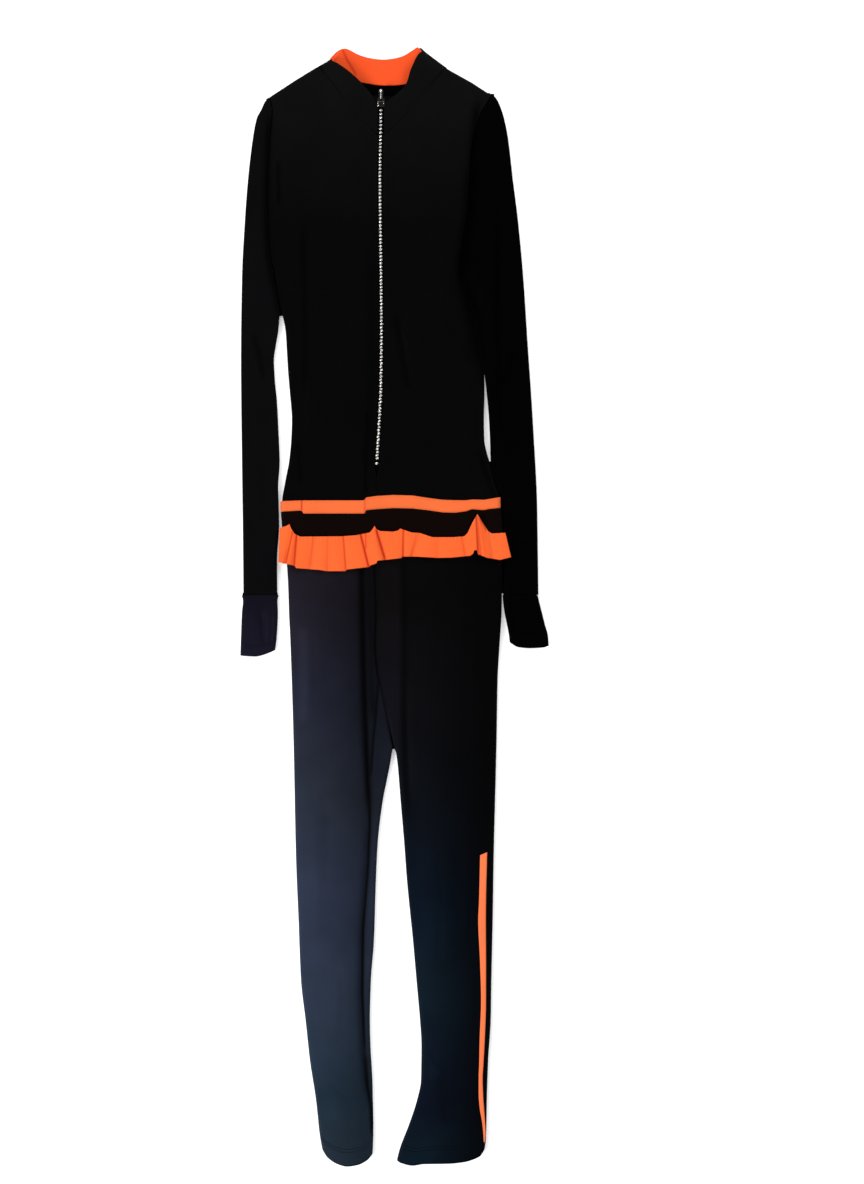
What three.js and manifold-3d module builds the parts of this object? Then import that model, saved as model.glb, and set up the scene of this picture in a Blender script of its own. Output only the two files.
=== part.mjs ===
// A child's figure skating catsuit, laid flat on its back, front up.
// Millimetres. +Y runs to the collar, +X to the viewer's right when seen from above, +Z up.
// The origin is on the surface it lies on, under the middle of the whole garment.
// "Right" and "left" in the names are the wearer's, so the right sleeve is at -X.
import * as THREE from "three";
import { mergeVertices } from "three/addons/utils/BufferGeometryUtils.js";
import Module from "manifold-3d";

// Driving sizes
const LENGTH = 1185; // top of the collar to the lowest leg hem
const WALL = 1.2; // cloth with its pile, pressed
const SEAM = 0.3; // gap left between pieces that are sewn together
const CLEAR = 0.5; // gap under what lies on a panel
const DEPTH = 6; // body, leg or sleeve lying flat, over both walls
const HALF_DEPTH = DEPTH / 2;
const EDGE_STEPS = [0, 0.8, HALF_DEPTH]; // columns over a rounded side edge, in from it
const SHOULDER_STEPS = [0, 0.9, HALF_DEPTH + 0.6]; // rows over the rounded shoulder
const SHOULDER_SLOPE = 0.83; // cosine of the shoulder's slope
const ARMPIT_ROWS = [232, 241, 250, 262, 278];
const HIP_ROWS = [456, 465, 474];
const HIP = { rise: 2, from: 458, up: 473, falls: 558, to: 576 }; // the back of the frill lifts the hips
const LAP = { rise: 7.3, fall: 14, from: 231, up: 247, falls: 350, to: 378 }; // left sleeve on the body
const LAP_OUT = 0.5; // the sleeve stays up this far past the body's edge
const ZIP_GAP = 2.7; // half the slot between the fronts
const ZIP_TOP = 60;
const ZIP_END = 441;
const SLOT_OPEN = 8; // the slot stays open this far below the chain
const SLOT_SHUT = 28;
const TAPE_HALF = 6.5;
const TAPE_DEEP = 2.5; // top of the tape under the fronts' face
const TAPE_WALL = 1;
const TAPE_OVER = 4; // the tape runs on past the slider and the last stone
const TAPE_UNDER = 6;
const CHAIN_START = 5; // below the slider's top
const CHAIN_HALF = 2.1;
const CHAIN_PROUD = 1;
const NECK_SEAM = 93; // front neck seam, where the collar ends start
const COLLAR_LIFT = 2.85; // rise of the zip up the standing collar
const COLLAR_FRONT = 33; // height of the collar's front ends
const COLLAR_STEP = 0.004; // share used to work out which way the collar faces
const NECK_GAP = 0.035; // share of the collar's height left open at its seam
const FACING = { gap: 0.7, wall: 1, from: 0.28, to: 0.72 }; // shares of the collar that show it
const HIP_SEAM = 487;
const CROTCH = 741;
const CUFF_SEAM = 580;
const FRILL_BACK = { top: 512, depth: 34.5, left: -119, right: 114, waves: 12, wave: 0.3 };
const ARMHOLE_SHARE = 0.2; // share of a sleeve over which its rows follow the armhole's curve
const ROW_SPREAD = 1.25; // rows lie closer together near the shoulder

const COLOURS = {
  black: { color: 0x121216, roughness: 0.62, metalness: 0 },
  slate: { color: 0x1b2029, roughness: 0.6, metalness: 0 },
  orange: { color: 0xf5692c, roughness: 0.58, metalness: 0 },
  facing: { color: 0xf35a2c, roughness: 0.6, metalness: 0 },
  crystal: { color: 0xd9dde2, roughness: 0.15, metalness: 0.6 },
  silver: { color: 0xb9bcc0, roughness: 0.25, metalness: 1 },
};

// A table with named columns: the first column is what it is read by.
function table(names, ...rows) {
  const columns = names.split(" ");
  return rows.map((row) => Object.fromEntries(columns.map((name, i) => [name, row[i]])));
}

const BODICE_SIDES = table(
  "down left right",
  [52, -132, 101.4],
  [66, -128.8, 92.8],
  [86, -130.4, 85.3],
  [112, -132.5, 80.6],
  [146, -134.1, 79],
  [170, -133.6, 77.4],
  [204, -132.5, 72.1],
  [227, -129.8, 68.4],
  [241, -127.2, 69.4],
  [257, -124.6, 79],
  [278, -120.2, 89.6],
  [289, -117.3, 92.2],
  [301, -115.3, 93.9],
  [322, -114, 94.9],
  [345, -112.6, 95.3],
  [366, -110.8, 95.4],
  [394, -108.7, 94.9],
  [415, -109.4, 95.3],
  [428, -110.5, 97.6],
  [439, -111.8, 100.9],
  [458, -115.5, 105.3],
  [470, -117.6, 109],
  [476, -118.7, 110.5],
  [487, -119.2, 110.8],
);

const LEG_SIDES = table(
  "down left right",
  [487, -119.2, 110.8],
  [511, -117.1, 112.9],
  [564, -112.9, 114],
  [598, -111.8, 113.6],
  [628, -110.4, 111.8],
  [670, -108.9, 109.4],
  [734, -107, 108.3],
  [861, -104.3, 105.2],
  [924, -101.7, 104.2],
  [988, -99.1, 102.8],
  [1030, -94.3, 102.1],
  [1073, -89.6, 99.4],
  [1115, -83.2, 98],
  [1153, -79, 97.2],
  [1185, -72.6, 92.5],
);

const INSEAMS = table(
  "down right left",
  [741, -1.4, -0.6],
  [746, -2.6, 1.5],
  [755, -3.9, 2.9],
  [776, -8, 4.8],
  [797, -12.2, 6.4],
  [840, -17.5, 10.1],
  [882, -19.6, 13.2],
  [946, -21.7, 19.6],
  [988, -24.9, 23.3],
  [1030, -26, 27],
  [1057, -25.4, 28.6],
  [1094, -23.3, 28.1],
  [1115, -22.8, 23.9],
  [1141, -22.3, 15.4],
  [1166, -22.8, 5.8],
  [1185, -24.9, 1],
);

const CENTRE = table(
  "down x",
  [40, -14.3],
  [60, -14.3],
  [142, -15.4],
  [211, -14.6],
  [299, -13.8],
  [356, -14.3],
  [401, -16.4],
  [441, -18.6],
  [487, -19.6],
  [549, -20.7],
  [591, -19.3],
  [638, -20.7],
  [675, -15.8],
  [707, -8.5],
  [741, -1],
);

// Top edges of the bodice, read by x: shoulder, neck point, neck seam.
const FRONT_TOP = table(
  "x down",
  [-132, 52],
  [-107.6, 36],
  [-81, 19.8],
  [-62, 42.5],
  [-41, 70],
  [-18, NECK_SEAM],
  [-10.5, NECK_SEAM],
  [12, 72],
  [36, 44],
  [56, 21.6],
  [84.3, 37.1],
  [101.4, 48],
);

const BACK_TOP = table(
  "x down",
  [-132, 52],
  [-107.6, 36],
  [-81, 19.8],
  [-74, 25.5],
  [-60, 35],
  [-30, 42],
  [-10, 44],
  [10, 43.2],
  [32, 38],
  [46, 29],
  [56, 21.6],
  [84.3, 37.1],
  [101.4, 48],
);

// Leg hems, read by the share of the way across each leg.
const HEM_WIDTH = { right: 50, left: 88 };
const HEMS = {
  right: table(
    "share down",
    [0, 1167],
    [0.08, 1175.5],
    [0.25, 1182],
    [0.47, 1185],
    [0.7, 1183.5],
    [0.9, 1178.5],
    [1, 1172],
  ),
  left: table(
    "share down",
    [0, 1178.5],
    [0.05, 1181],
    [0.2, 1184],
    [0.32, 1182.4],
    [0.6, 1182],
    [0.78, 1180.4],
    [0.88, 1177.8],
    [0.96, 1173.8],
    [1, 1166.5],
  ),
};

const SLEEVES = {
  right: {
    top: 52,
    armpit: 227,
    sign: -1,
    outer: table(
      "down x",
      [52, -132.9],
      [57, -137.3],
      [66, -141.5],
      [74, -145.8],
      [95, -150],
      [140, -155.3],
      [182, -158.5],
      [246, -161.7],
      [331, -162.7],
      [437, -161.7],
      [522, -160.6],
      [580, -160.1],
    ),
    inner: table(
      "down x",
      [227, -130.7],
      [257, -125.5],
      [282, -121.8],
      [299, -123],
      [315, -125.6],
      [331, -127.7],
      [352, -126.7],
      [373, -124.6],
      [416, -122.4],
      [439, -121.6],
      [466, -123.2],
      [480, -122.8],
      [505, -122.2],
      [543, -124.4],
      [580, -124],
    ),
  },
  left: {
    top: 48,
    armpit: 232,
    sign: 1,
    outer: table(
      "down x",
      [48, 102.3],
      [53, 107.6],
      [61, 111.8],
      [74, 116.1],
      [95, 120.3],
      [140, 125.6],
      [182, 130.9],
      [246, 136.8],
      [310, 141],
      [373, 145.3],
      [416, 147.9],
      [479, 151.1],
      [543, 152.1],
      [580, 152.6],
    ),
    inner: table(
      "down x",
      [232, 69.5],
      [246, 72.9],
      [267, 79],
      [288, 85.3],
      [322, 91.2],
      [360, 97],
      [394, 100.2],
      [416, 101.2],
      [441, 102.2],
      [462, 107.2],
      [479, 113.3],
      [522, 116.8],
      [559, 116.8],
      [580, 115],
    ),
  },
};

const CUFFS = {
  right: {
    edges: table(
      "down left right",
      [580, -161.9, -122.6],
      [586, -160.6, -124],
      [598, -161.7, -123.5],
      [623, -162.7, -124.6],
      [645, -163.4, -127.4],
    ),
    width: 36,
    hem: table("share down", [0, 644], [0.45, 645], [0.7, 643], [1, 638.3]),
  },
  left: {
    edges: table(
      "down left right",
      [580, 114.6, 151.8],
      [586, 115, 153.2],
      [598, 116.6, 156.3],
      [611, 119.2, 159.5],
      [623, 121.4, 162.7],
      [642, 123.4, 164],
    ),
    width: 41,
    hem: table("share down", [0, 630], [0.2, 635], [0.5, 636.2], [0.85, 635.4], [1, 633.6]),
  },
};

// The collar strip, from the right front end round the back of the neck to the left front end.
// The seam row is where it is sewn on, the top row its free edge, both on its outer face.
const COLLAR = table(
  "seamX seamDown seamZ topX topDown topZ",
  [-18, 92.7, 6.15, -17, 60.5, 9],
  [-41, 69.6, 6.3, -32.3, 40.8, 10.5],
  [-62, 42.1, 6.5, -47, 27, 12],
  [-75, 26.6, 6.15, -61.5, 17, 12.6],
  [-80.6, 19.3, 3.1, -66.5, 13.4, 8.6],
  [-74, 25, 0, -60.4, 5, 3.6],
  [-60, 33.6, 0, -53.5, 2.2, 1],
  [-30, 40.6, 0, -34, 10.2, 0.4],
  [-10, 42.6, 0, -12, 13.8, 0.3],
  [10, 41.6, 0, 8, 10.6, 0.4],
  [32, 35.6, 0, 19, 4.8, 1],
  [46, 27, 0, 27, 0, 3.4],
  [55.6, 21.2, 3.1, 30, 3.4, 8.4],
  [50, 26, 6.15, 25.5, 8, 12.6],
  [36, 43.6, 6.5, 17.5, 24, 12],
  [12, 71.6, 6.3, 11.5, 40.5, 10.5],
  [-10.5, 92.7, 6.15, -11.5, 60.5, 9],
);

const BAND_EDGES = table(
  "x top bottom",
  [-121.4, 480.6, 491.6],
  [-98.4, 479.7, 490.3],
  [-97.4, 479.7, 493.6],
  [-31.6, 479.7, 493.6],
  [-30.4, 476.7, 490],
  [-18.9, 475, 488.9],
  [-1.3, 474, 487.8],
  [19, 474.5, 488.2],
  [35, 477, 490],
  [51, 479.1, 492.4],
  [64, 479.5, 492.7],
  [76, 479.6, 491.1],
  [82, 478.8, 488.9],
  [95, 479.1, 490],
  [99.4, 478.4, 488.8],
  [113.5, 476, 487.4],
);

const FRILL_TOP = table(
  "x down",
  [-121.4, 508.3],
  [-114.3, 506.2],
  [-110.8, 504.2],
  [-109.4, 508.3],
  [-105.5, 514.4],
  [-99.3, 517.4],
  [-56, 517.1],
  [-40, 515.9],
  [-26, 513],
  [-23.3, 510],
  [-21, 506],
  [-18.9, 509.5],
  [-15.4, 511.4],
  [-1.3, 512.2],
  [4, 510.9],
  [6.4, 508.8],
  [9.3, 510],
  [18.2, 513],
  [27, 513.6],
  [40.3, 518],
  [62.3, 518],
  [73.9, 517.1],
  [77.4, 513.6],
  [82.7, 502.1],
  [87.7, 493.6],
  [93.3, 503],
  [99.4, 511.8],
  [103, 514.1],
  [117.4, 513.4],
);

const FRILL_HEM = table(
  "x down",
  [-122.7, 545],
  [-105.5, 548.9],
  [-103.7, 551.4],
  [-79, 553.3],
  [-71.9, 554.6],
  [-51.8, 554.6],
  [-49.8, 552.8],
  [-26.5, 550.2],
  [-25.4, 548.6],
  [-18.9, 546.3],
  [-17.8, 543.6],
  [7.4, 540.8],
  [8.7, 539.2],
  [23.5, 539.2],
  [44.7, 540.5],
  [60, 540.3],
  [80, 538.3],
  [83.2, 536.3],
  [84.4, 532.5],
  [87.2, 532.3],
  [88.4, 536.7],
  [97.7, 540.4],
  [111.8, 542.7],
  [123.5, 539.8],
);

// Creases of the frill from its seam to its hem, and the rise of the flute that follows each one.
const FLUTES = table(
  "top hem rise",
  [-121.4, -122.7, 2.4],
  [-108.2, -115.8, 2],
  [-103.4, -107.6, 3.2],
  [-84.5, -89.6, 2.6],
  [-70, -70, 2.2],
  [-55.7, -51.4, 3.4],
  [-35.7, -26.5, 3.6],
  [-19, -9.8, 3.4],
  [9.8, 9.3, 2.6],
  [24.9, 18.6, 2.2],
  [46, 46, 2.4],
  [71.6, 75.3, 3.6],
  [88.8, 91.9, 3.4],
  [101, 104.5, 2.4],
  [117.4, 123.5, 0],
);
const FRILL_PEAKS = table("x height", [-110.8, 1.6], [-21.2, 1.8], [88, 4.5]);

// The stripe on the left leg's outer side.
const STRIPE = table(
  "down inner outer",
  [852, 90.8, 98.2],
  [903, 89.6, 97],
  [924, 88.7, 96.8],
  [967, 90.6, 97],
  [1009, 91.7, 97],
  [1052, 90.2, 95.6],
  [1077, 89.7, 94.2],
  [1092, 89.2, 93.4],
  [1107, 89.2, 93.8],
  [1122, 90.2, 94.8],
  [1138, 92.9, 96],
  [1150, 94.1, 96.6],
  [1159, 94.6, 95.8],
);
const STRIPE_SLANT = 3.2; // its top end is cut on a slant

// The largest folds of the top layers: lines in plan, raised or, where negative, sunk.
const FOLDS = table(
  "x0 down0 x1 down1 height width",
  [-96, 185, -95, 470, -1.3, 9],
  [-86, 190, -84, 460, 0.9, 12],
  [-62, 120, -50, 440, 1.4, 18],
  [-36, 370, -33, 452, -1.2, 8],
  [5, 290, 17, 370, -1.3, 9],
  [24, 130, 30, 440, 1.3, 18],
  [54, 110, 60, 455, -1.1, 14],
  [-151, 90, -138, 560, 1.2, 10],
  [-143, 240, -134, 560, -0.9, 7],
  [110, 90, 128, 560, 1.2, 11],
  [106, 190, 138, 520, -1, 8],
  [-30, 560, -30, 740, -1.4, 12],
  [-60, 580, -58, 1120, 1.6, 22],
  [-29, 740, -33, 1060, -1.3, 8],
  [-33, 1060, -26, 1150, -1.1, 8],
  [12, 600, 17, 800, -1.3, 12],
  [50, 580, 55, 1090, 1.6, 22],
  [38, 1072, 50, 1094, 0.9, 8],
  [-141, 592, -136, 640, -1.1, 6],
  [-131, 590, -129, 634, 0.9, 5],
  [132, 592, 140, 630, 0.9, 9],
);

const mix = (a, b, t) => a + (b - a) * t;
const clamp = (value, low = 0, high = 1) => Math.min(high, Math.max(low, value));
function ease(from, to, value) {
  const t = clamp((value - from) / (to - from));
  return t * t * (3 - 2 * t);
}

// Straight lines between the rows of a table.
function straight(rows, key, name, at) {
  const last = rows.length - 1;
  if (at <= rows[0][key]) return rows[0][name];
  if (at >= rows[last][key]) return rows[last][name];
  const i = rows.findIndex((row) => row[key] > at) - 1;
  return mix(rows[i][name], rows[i + 1][name], (at - rows[i][key]) / (rows[i + 1][key] - rows[i][key]));
}

// A smooth curve through the rows of a table that never swings past them.
function smooth(rows, key, name, at) {
  const last = rows.length - 1;
  if (at <= rows[0][key]) return rows[0][name];
  if (at >= rows[last][key]) return rows[last][name];
  const i = rows.findIndex((row) => row[key] > at) - 1;
  const slope = (j) => (rows[j + 1][name] - rows[j][name]) / (rows[j + 1][key] - rows[j][key]);
  const tangent = (j) => {
    if (j === 0) return slope(0);
    if (j === last) return slope(last - 1);
    const before = slope(j - 1);
    const after = slope(j);
    return before * after <= 0 ? 0 : (2 * before * after) / (before + after);
  };
  const run = rows[i + 1][key] - rows[i][key];
  const t = (at - rows[i][key]) / run;
  const square = t * t;
  const cube = square * t;
  return (
    (2 * cube - 3 * square + 1) * rows[i][name] +
    (cube - 2 * square + t) * run * tangent(i) +
    (3 * square - 2 * cube) * rows[i + 1][name] +
    (cube - square) * run * tangent(i + 1)
  );
}

const place = (x, down, z) => new THREE.Vector3(x, LENGTH / 2 - down, z);

// Height profile of a rounded edge: 0 at the edge, 1 from one radius inwards.
const crown = (inset, radius) => Math.sqrt(1 - (1 - clamp(inset / radius)) ** 2);

// Sum of the folds at a point of the top layers.
function foldAt(x, down) {
  return FOLDS.reduce((sum, fold) => {
    const runX = fold.x1 - fold.x0;
    const runDown = fold.down1 - fold.down0;
    const t = clamp(((x - fold.x0) * runX + (down - fold.down0) * runDown) / (runX ** 2 + runDown ** 2));
    const away = Math.hypot(x - mix(fold.x0, fold.x1, t), down - mix(fold.down0, fold.down1, t));
    const taper = ease(0, 0.25, t) * ease(1, 0.75, t);
    return sum + fold.height * taper * Math.exp(-((away / fold.width) ** 2));
  }, 0);
}

// Lift of the body's underside over the back of the band and frill.
const bodyBase = (down) => HIP.rise * ease(HIP.from, HIP.up, down) * ease(HIP.to, HIP.falls, down);

const centreAt = (down) => smooth(CENTRE, "down", "x", down);
const zipGapAt = (down) => mix(ZIP_GAP, SEAM / 2, ease(ZIP_END + SLOT_OPEN, ZIP_END + SLOT_SHUT, down));

function sideAt(down, side) {
  return smooth(down < HIP_SEAM ? BODICE_SIDES : LEG_SIDES, "down", side, down);
}

// Closed solids. Each surface is a grid of points; the faces are turned outwards at the end.
function solidFrom(points, faces) {
  const volume = faces.reduce((sum, [a, b, c]) => {
    return sum + points[a].dot(new THREE.Vector3().crossVectors(points[b], points[c]));
  }, 0);
  const turned = volume < 0 ? faces.map(([a, b, c]) => [a, c, b]) : faces;
  const geometry = new THREE.BufferGeometry().setFromPoints(points);
  geometry.setIndex(turned.flat());
  geometry.computeVertexNormals();
  return geometry;
}

// A wall between two grids of the same size, closed along its four edges.
function sheet(across, along, face, lining) {
  const points = [];
  const faces = [];
  const width = across + 1;
  const half = width * (along + 1);
  for (const surface of [face, lining]) {
    for (let j = 0; j <= along; j++) {
      for (let i = 0; i <= across; i++) points.push(surface(i, j));
    }
  }
  const at = (i, j) => j * width + i;
  const quad = (a, b, c, d) => faces.push([a, b, c], [a, c, d]);
  for (let j = 0; j < along; j++) {
    for (let i = 0; i < across; i++) {
      const corners = [at(i, j), at(i, j + 1), at(i + 1, j + 1), at(i + 1, j)];
      quad(...corners);
      quad(...corners.map((corner) => corner + half).reverse());
    }
  }
  const rim = (a, b) => quad(b, a, a + half, b + half);
  for (let j = 0; j < along; j++) {
    rim(at(0, j), at(0, j + 1));
    rim(at(across, j + 1), at(across, j));
  }
  for (let i = 0; i < across; i++) {
    rim(at(i, along), at(i + 1, along));
    rim(at(i + 1, 0), at(i, 0));
  }
  return solidFrom(points, faces);
}

// An open tube: rings of the same number of points outside and inside, joined at both ends.
function tube(around, along, outside, inside) {
  const points = [];
  const faces = [];
  const half = around * (along + 1);
  for (const surface of [outside, inside]) {
    for (let j = 0; j <= along; j++) {
      for (let i = 0; i < around; i++) points.push(surface(i, j));
    }
  }
  const at = (i, j) => j * around + (i % around);
  const quad = (a, b, c, d) => faces.push([a, b, c], [a, c, d]);
  for (let i = 0; i < around; i++) {
    for (let j = 0; j < along; j++) {
      const corners = [at(i, j), at(i, j + 1), at(i + 1, j + 1), at(i + 1, j)];
      quad(...corners);
      quad(...corners.map((corner) => corner + half).reverse());
    }
    quad(at(i + 1, 0), at(i + 1, 0) + half, at(i, 0) + half, at(i, 0));
    quad(at(i, along), at(i, along) + half, at(i + 1, along) + half, at(i + 1, along));
  }
  return solidFrom(points, faces);
}

// Places across a panel: close together over a rounded edge, even between.
function columns(count, leftRound, rightRound) {
  const margin = (leftRound ? HALF_DEPTH : 0) + (rightRound ? HALF_DEPTH : 0);
  const list = leftRound ? EDGE_STEPS.map((inset) => ({ inset, share: 0 })) : [{ inset: 0, share: 0 }];
  const start = leftRound ? HALF_DEPTH : 0;
  for (let i = 1; i < count; i++) list.push({ inset: start, share: i / count });
  const end = rightRound ? [...EDGE_STEPS].reverse().map((inset) => margin - inset) : [start];
  end.forEach((inset) => list.push({ inset, share: 1 }));
  return { list, margin };
}

// Half of a flattened body: the front lies over it, the back under it.
// left and right give its edges and leftClosed, rightClosed how far the wall turns down there.
// out is how far outside the body's own face its inner face lies.
function halfShell(spec) {
  const { list, margin } = columns(spec.count, spec.leftRound, spec.rightRound);
  const rows = spec.rows;
  const back = spec.layer === "back";
  const out = spec.out ?? -WALL;
  const backRadius = (base, inward) => HALF_DEPTH - SEAM / 2 - inward + (out > 0 ? base : 0);
  const surface = (isOuter) => (i, j) => {
    const column = list[i];
    const inward = isOuter ? 0 : WALL;
    const reach = out + (isOuter ? WALL : 0);
    const down = spec.down(column, j, inward);
    const leftClosed = spec.leftClosed(down);
    const rightClosed = spec.rightClosed(down);
    const left = spec.left(down) + inward * leftClosed;
    const right = spec.right(down) - inward * rightClosed;
    const x = left + column.inset + column.share * (right - left - margin);
    const base = bodyBase(down);
    const radius = back ? backRadius(base, inward) : HALF_DEPTH + reach;
    const round = Math.min(
      mix(1, crown(x - left, radius), leftClosed),
      mix(1, crown(right - x, radius), rightClosed),
      spec.topRound ? spec.topRound(x, down, radius, inward) : 1,
    );
    const middle = base + HALF_DEPTH + (back ? -SEAM : SEAM) / 2;
    if (back) return place(x, down, middle - radius * round);
    return place(x, down, middle + radius * round + foldAt(x, down) * round);
  };
  const outer = surface(true);
  const inner = surface(false);
  return sheet(list.length - 1, rows, back ? inner : outer, back ? outer : inner);
}

const always = (value) => () => value;
const openAbove = (down) => (at) => ease(down - 8, down + 5, at);

// Rows of a bodice panel: close together at its shoulder, its armpit and over the hips' rise.
function bodiceDown(top, left, right, steps) {
  const near = SHOULDER_STEPS;
  const low = [...HIP_ROWS, HIP_SEAM - SEAM / 2];
  const waist = Array.from({ length: steps.low }, (_, i) => {
    return mix(ARMPIT_ROWS.at(-1), HIP_ROWS[0], (i + 1) / (steps.low + 1));
  });
  const fixed = [...ARMPIT_ROWS, ...waist, ...low];
  const rows = near.length + steps.high + fixed.length - 1;
  const down = (column, j, inward) => {
    const acrossAt = (at) => mix(left(at), right(at), column.share) + column.inset * (1 - column.share);
    let start = straight(top, "x", "down", acrossAt(60));
    for (let turn = 0; turn < 8; turn++) start = straight(top, "x", "down", acrossAt(start));
    const from = start + (inward * onShoulder(acrossAt(start))) / SHOULDER_SLOPE;
    if (j < near.length) return from + near[j];
    const k = j - near.length + 1;
    if (k > steps.high) return fixed[k - steps.high - 1];
    return mix(from + near[2], ARMPIT_ROWS[0], (k / (steps.high + 1)) ** ROW_SPREAD);
  };
  return { rows, down };
}

// 1 on the shoulders, outside the neck points, and 0 inside them.
const onShoulder = (x) => Math.max(ease(-79, -84, x), ease(54.5, 59.5, x));

function shoulderRound(top) {
  return (x, down, radius, inward) => {
    const inset = (down - straight(top, "x", "down", x)) * SHOULDER_SLOPE - inward;
    return mix(1, crown(Math.max(0, inset), radius), onShoulder(x));
  };
}

function bodiceFront(side) {
  const isRight = side === "right";
  const armpit = SLEEVES[side].armpit;
  const open = always(0);
  const left = (down) => (isRight ? sideAt(down, "left") : centreAt(down) + zipGapAt(down));
  const right = (down) => (isRight ? centreAt(down) - zipGapAt(down) : sideAt(down, "right"));
  return halfShell({
    layer: "front",
    count: 10,
    leftRound: isRight,
    rightRound: !isRight,
    left,
    right,
    leftClosed: isRight ? openAbove(armpit) : open,
    rightClosed: isRight ? open : openAbove(armpit),
    ...bodiceDown(FRONT_TOP, left, right, { high: 6, low: 5 }),
    topRound: shoulderRound(FRONT_TOP),
  });
}

function bodiceBack() {
  const left = (down) => sideAt(down, "left");
  const right = (down) => sideAt(down, "right");
  return halfShell({
    layer: "back",
    count: 14,
    leftRound: true,
    rightRound: true,
    left,
    right,
    leftClosed: openAbove(SLEEVES.right.armpit),
    rightClosed: openAbove(SLEEVES.left.armpit),
    ...bodiceDown(BACK_TOP, left, right, { high: 4, low: 2 }),
    topRound: shoulderRound(BACK_TOP),
  });
}

// Where a column lies across a hem of a given width, from 0 to 1.
const hemShare = (column, width) => (column.inset + column.share * (width - DEPTH)) / width;

function leg(layer, side) {
  const high = [HIP_SEAM + SEAM / 2, 520, 556, 567, 578];
  const rows = layer === "front" ? 23 : 15;
  const isRight = side === "right";
  const inner = (down) => {
    if (down >= CROTCH) return smooth(INSEAMS, "down", side, down);
    return centreAt(down) + (isRight ? -SEAM : SEAM) / 2;
  };
  const innerClosed = (down) => ease(CROTCH - 50, CROTCH + 4, down);
  const outer = (down) => sideAt(down, isRight ? "left" : "right");
  return halfShell({
    layer,
    count: layer === "front" ? 7 : 3,
    rows,
    leftRound: true,
    rightRound: true,
    left: isRight ? outer : inner,
    right: isRight ? inner : outer,
    leftClosed: isRight ? always(1) : innerClosed,
    rightClosed: isRight ? innerClosed : always(1),
    down: (column, j) => {
      if (j < high.length) return high[j];
      const hem = smooth(HEMS[side], "share", "down", hemShare(column, HEM_WIDTH[side]));
      return mix(high.at(-1), hem, (j - high.length + 1) / (rows - high.length + 1));
    },
  });
}

// What lies round the hips: its edges are read by x, from the body's left side to its right.
function hipPiece(layer, count, rows, topEdge, bottomEdge) {
  const left = (down) => sideAt(down, "left") - CLEAR - WALL;
  const right = (down) => sideAt(down, "right") + CLEAR + WALL;
  const along = (edge, column) => {
    const near = edge(0);
    return edge(left(near) + column.inset + column.share * (right(near) - left(near) - DEPTH));
  };
  return halfShell({
    layer,
    out: CLEAR,
    count,
    rows,
    leftRound: true,
    rightRound: true,
    left,
    right,
    leftClosed: always(1),
    rightClosed: always(1),
    down: (column, j) => mix(along(topEdge, column), along(bottomEdge, column), j / rows),
  });
}
const bandTop = (x) => straight(BAND_EDGES, "x", "top", x);
const bandBottom = (x) => straight(BAND_EDGES, "x", "bottom", x);
const frillTop = (x) => straight(FRILL_TOP, "x", "down", x);

// Top face of the body away from its edges.
const bodyTop = (x, down) => bodyBase(down) + DEPTH + SEAM / 2 + foldAt(x, down);

// Height of the front frill over its seat: flutes between the creases, and peaks at its seam.
function fluteAt(x, v) {
  const spot = (row) => mix(row.top, row.hem, v);
  const i = clamp(FLUTES.findIndex((row) => spot(row) > x) - 1, 0, FLUTES.length - 2);
  const t = clamp((x - spot(FLUTES[i])) / (spot(FLUTES[i + 1]) - spot(FLUTES[i])));
  const flute = FLUTES[i].rise * Math.sin(Math.PI * t) ** 0.8 * mix(0.35, 1, v);
  const peak = FRILL_PEAKS.reduce((sum, row) => {
    return sum + row.height * Math.exp(-(((x - row.x) / 7) ** 2)) * (1 - 0.6 * v);
  }, 0);
  return flute + peak;
}

function frillFront() {
  const across = 54;
  const rows = 3;
  const surface = (lift) => (i, j) => {
    const s = i / across;
    const v = j / rows;
    const topX = mix(FRILL_TOP[0].x, FRILL_TOP.at(-1).x, s);
    const hemX = mix(FRILL_HEM[0].x, FRILL_HEM.at(-1).x, s);
    const x = mix(topX, hemX, v);
    const down = mix(frillTop(topX) + 2 * SEAM, straight(FRILL_HEM, "x", "down", hemX), v);
    const seat = HIP.rise + DEPTH + SEAM / 2 + CLEAR;
    return place(x, down, seat + fluteAt(x, v) + lift);
  };
  return sheet(across, rows, surface(WALL), surface(0));
}

function frillBack() {
  const across = 36;
  const rows = 1;
  const surface = (isTop) => (i, j) => {
    const s = i / across;
    const v = j / rows;
    const x = mix(FRILL_BACK.left, FRILL_BACK.right, s);
    const down = FRILL_BACK.top + mix(SEAM, FRILL_BACK.depth, v);
    const wave = FRILL_BACK.wave * (1 - Math.cos(2 * Math.PI * s * FRILL_BACK.waves)) * mix(0.4, 1, v);
    return place(x, down, isTop ? WALL + wave : 0);
  };
  return sheet(across, rows, surface(true), surface(false));
}

// How far the left sleeve is lifted where it laps over the body's side.
function lapBase(x, down) {
  const reach = ease(LAP.from, LAP.up, down) * ease(LAP.to, LAP.falls, down);
  const edge = sideAt(down, "right") + LAP_OUT;
  return LAP.rise * reach * ease(edge + LAP.fall, edge, x);
}

// A flattened tube whose rings run from a start point to an end point in plan.
function flatTube(rows, shares, path, base) {
  const last = shares.length - 1;
  const around = 2 * last;
  const surface = (inward) => (i, j) => {
    const onTop = i <= last;
    const index = onTop ? i : around - i;
    const { x, down, inset } = path(j / rows, shares[index], inward);
    const radius = HALF_DEPTH - inward;
    const round = crown(inset, radius);
    const fold = onTop ? foldAt(x, down) * round : 0;
    return place(x, down, base(x, down) + HALF_DEPTH + (onTop ? 1 : -1) * radius * round + fold);
  };
  return tube(around, rows, surface(0), surface(WALL));
}

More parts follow.
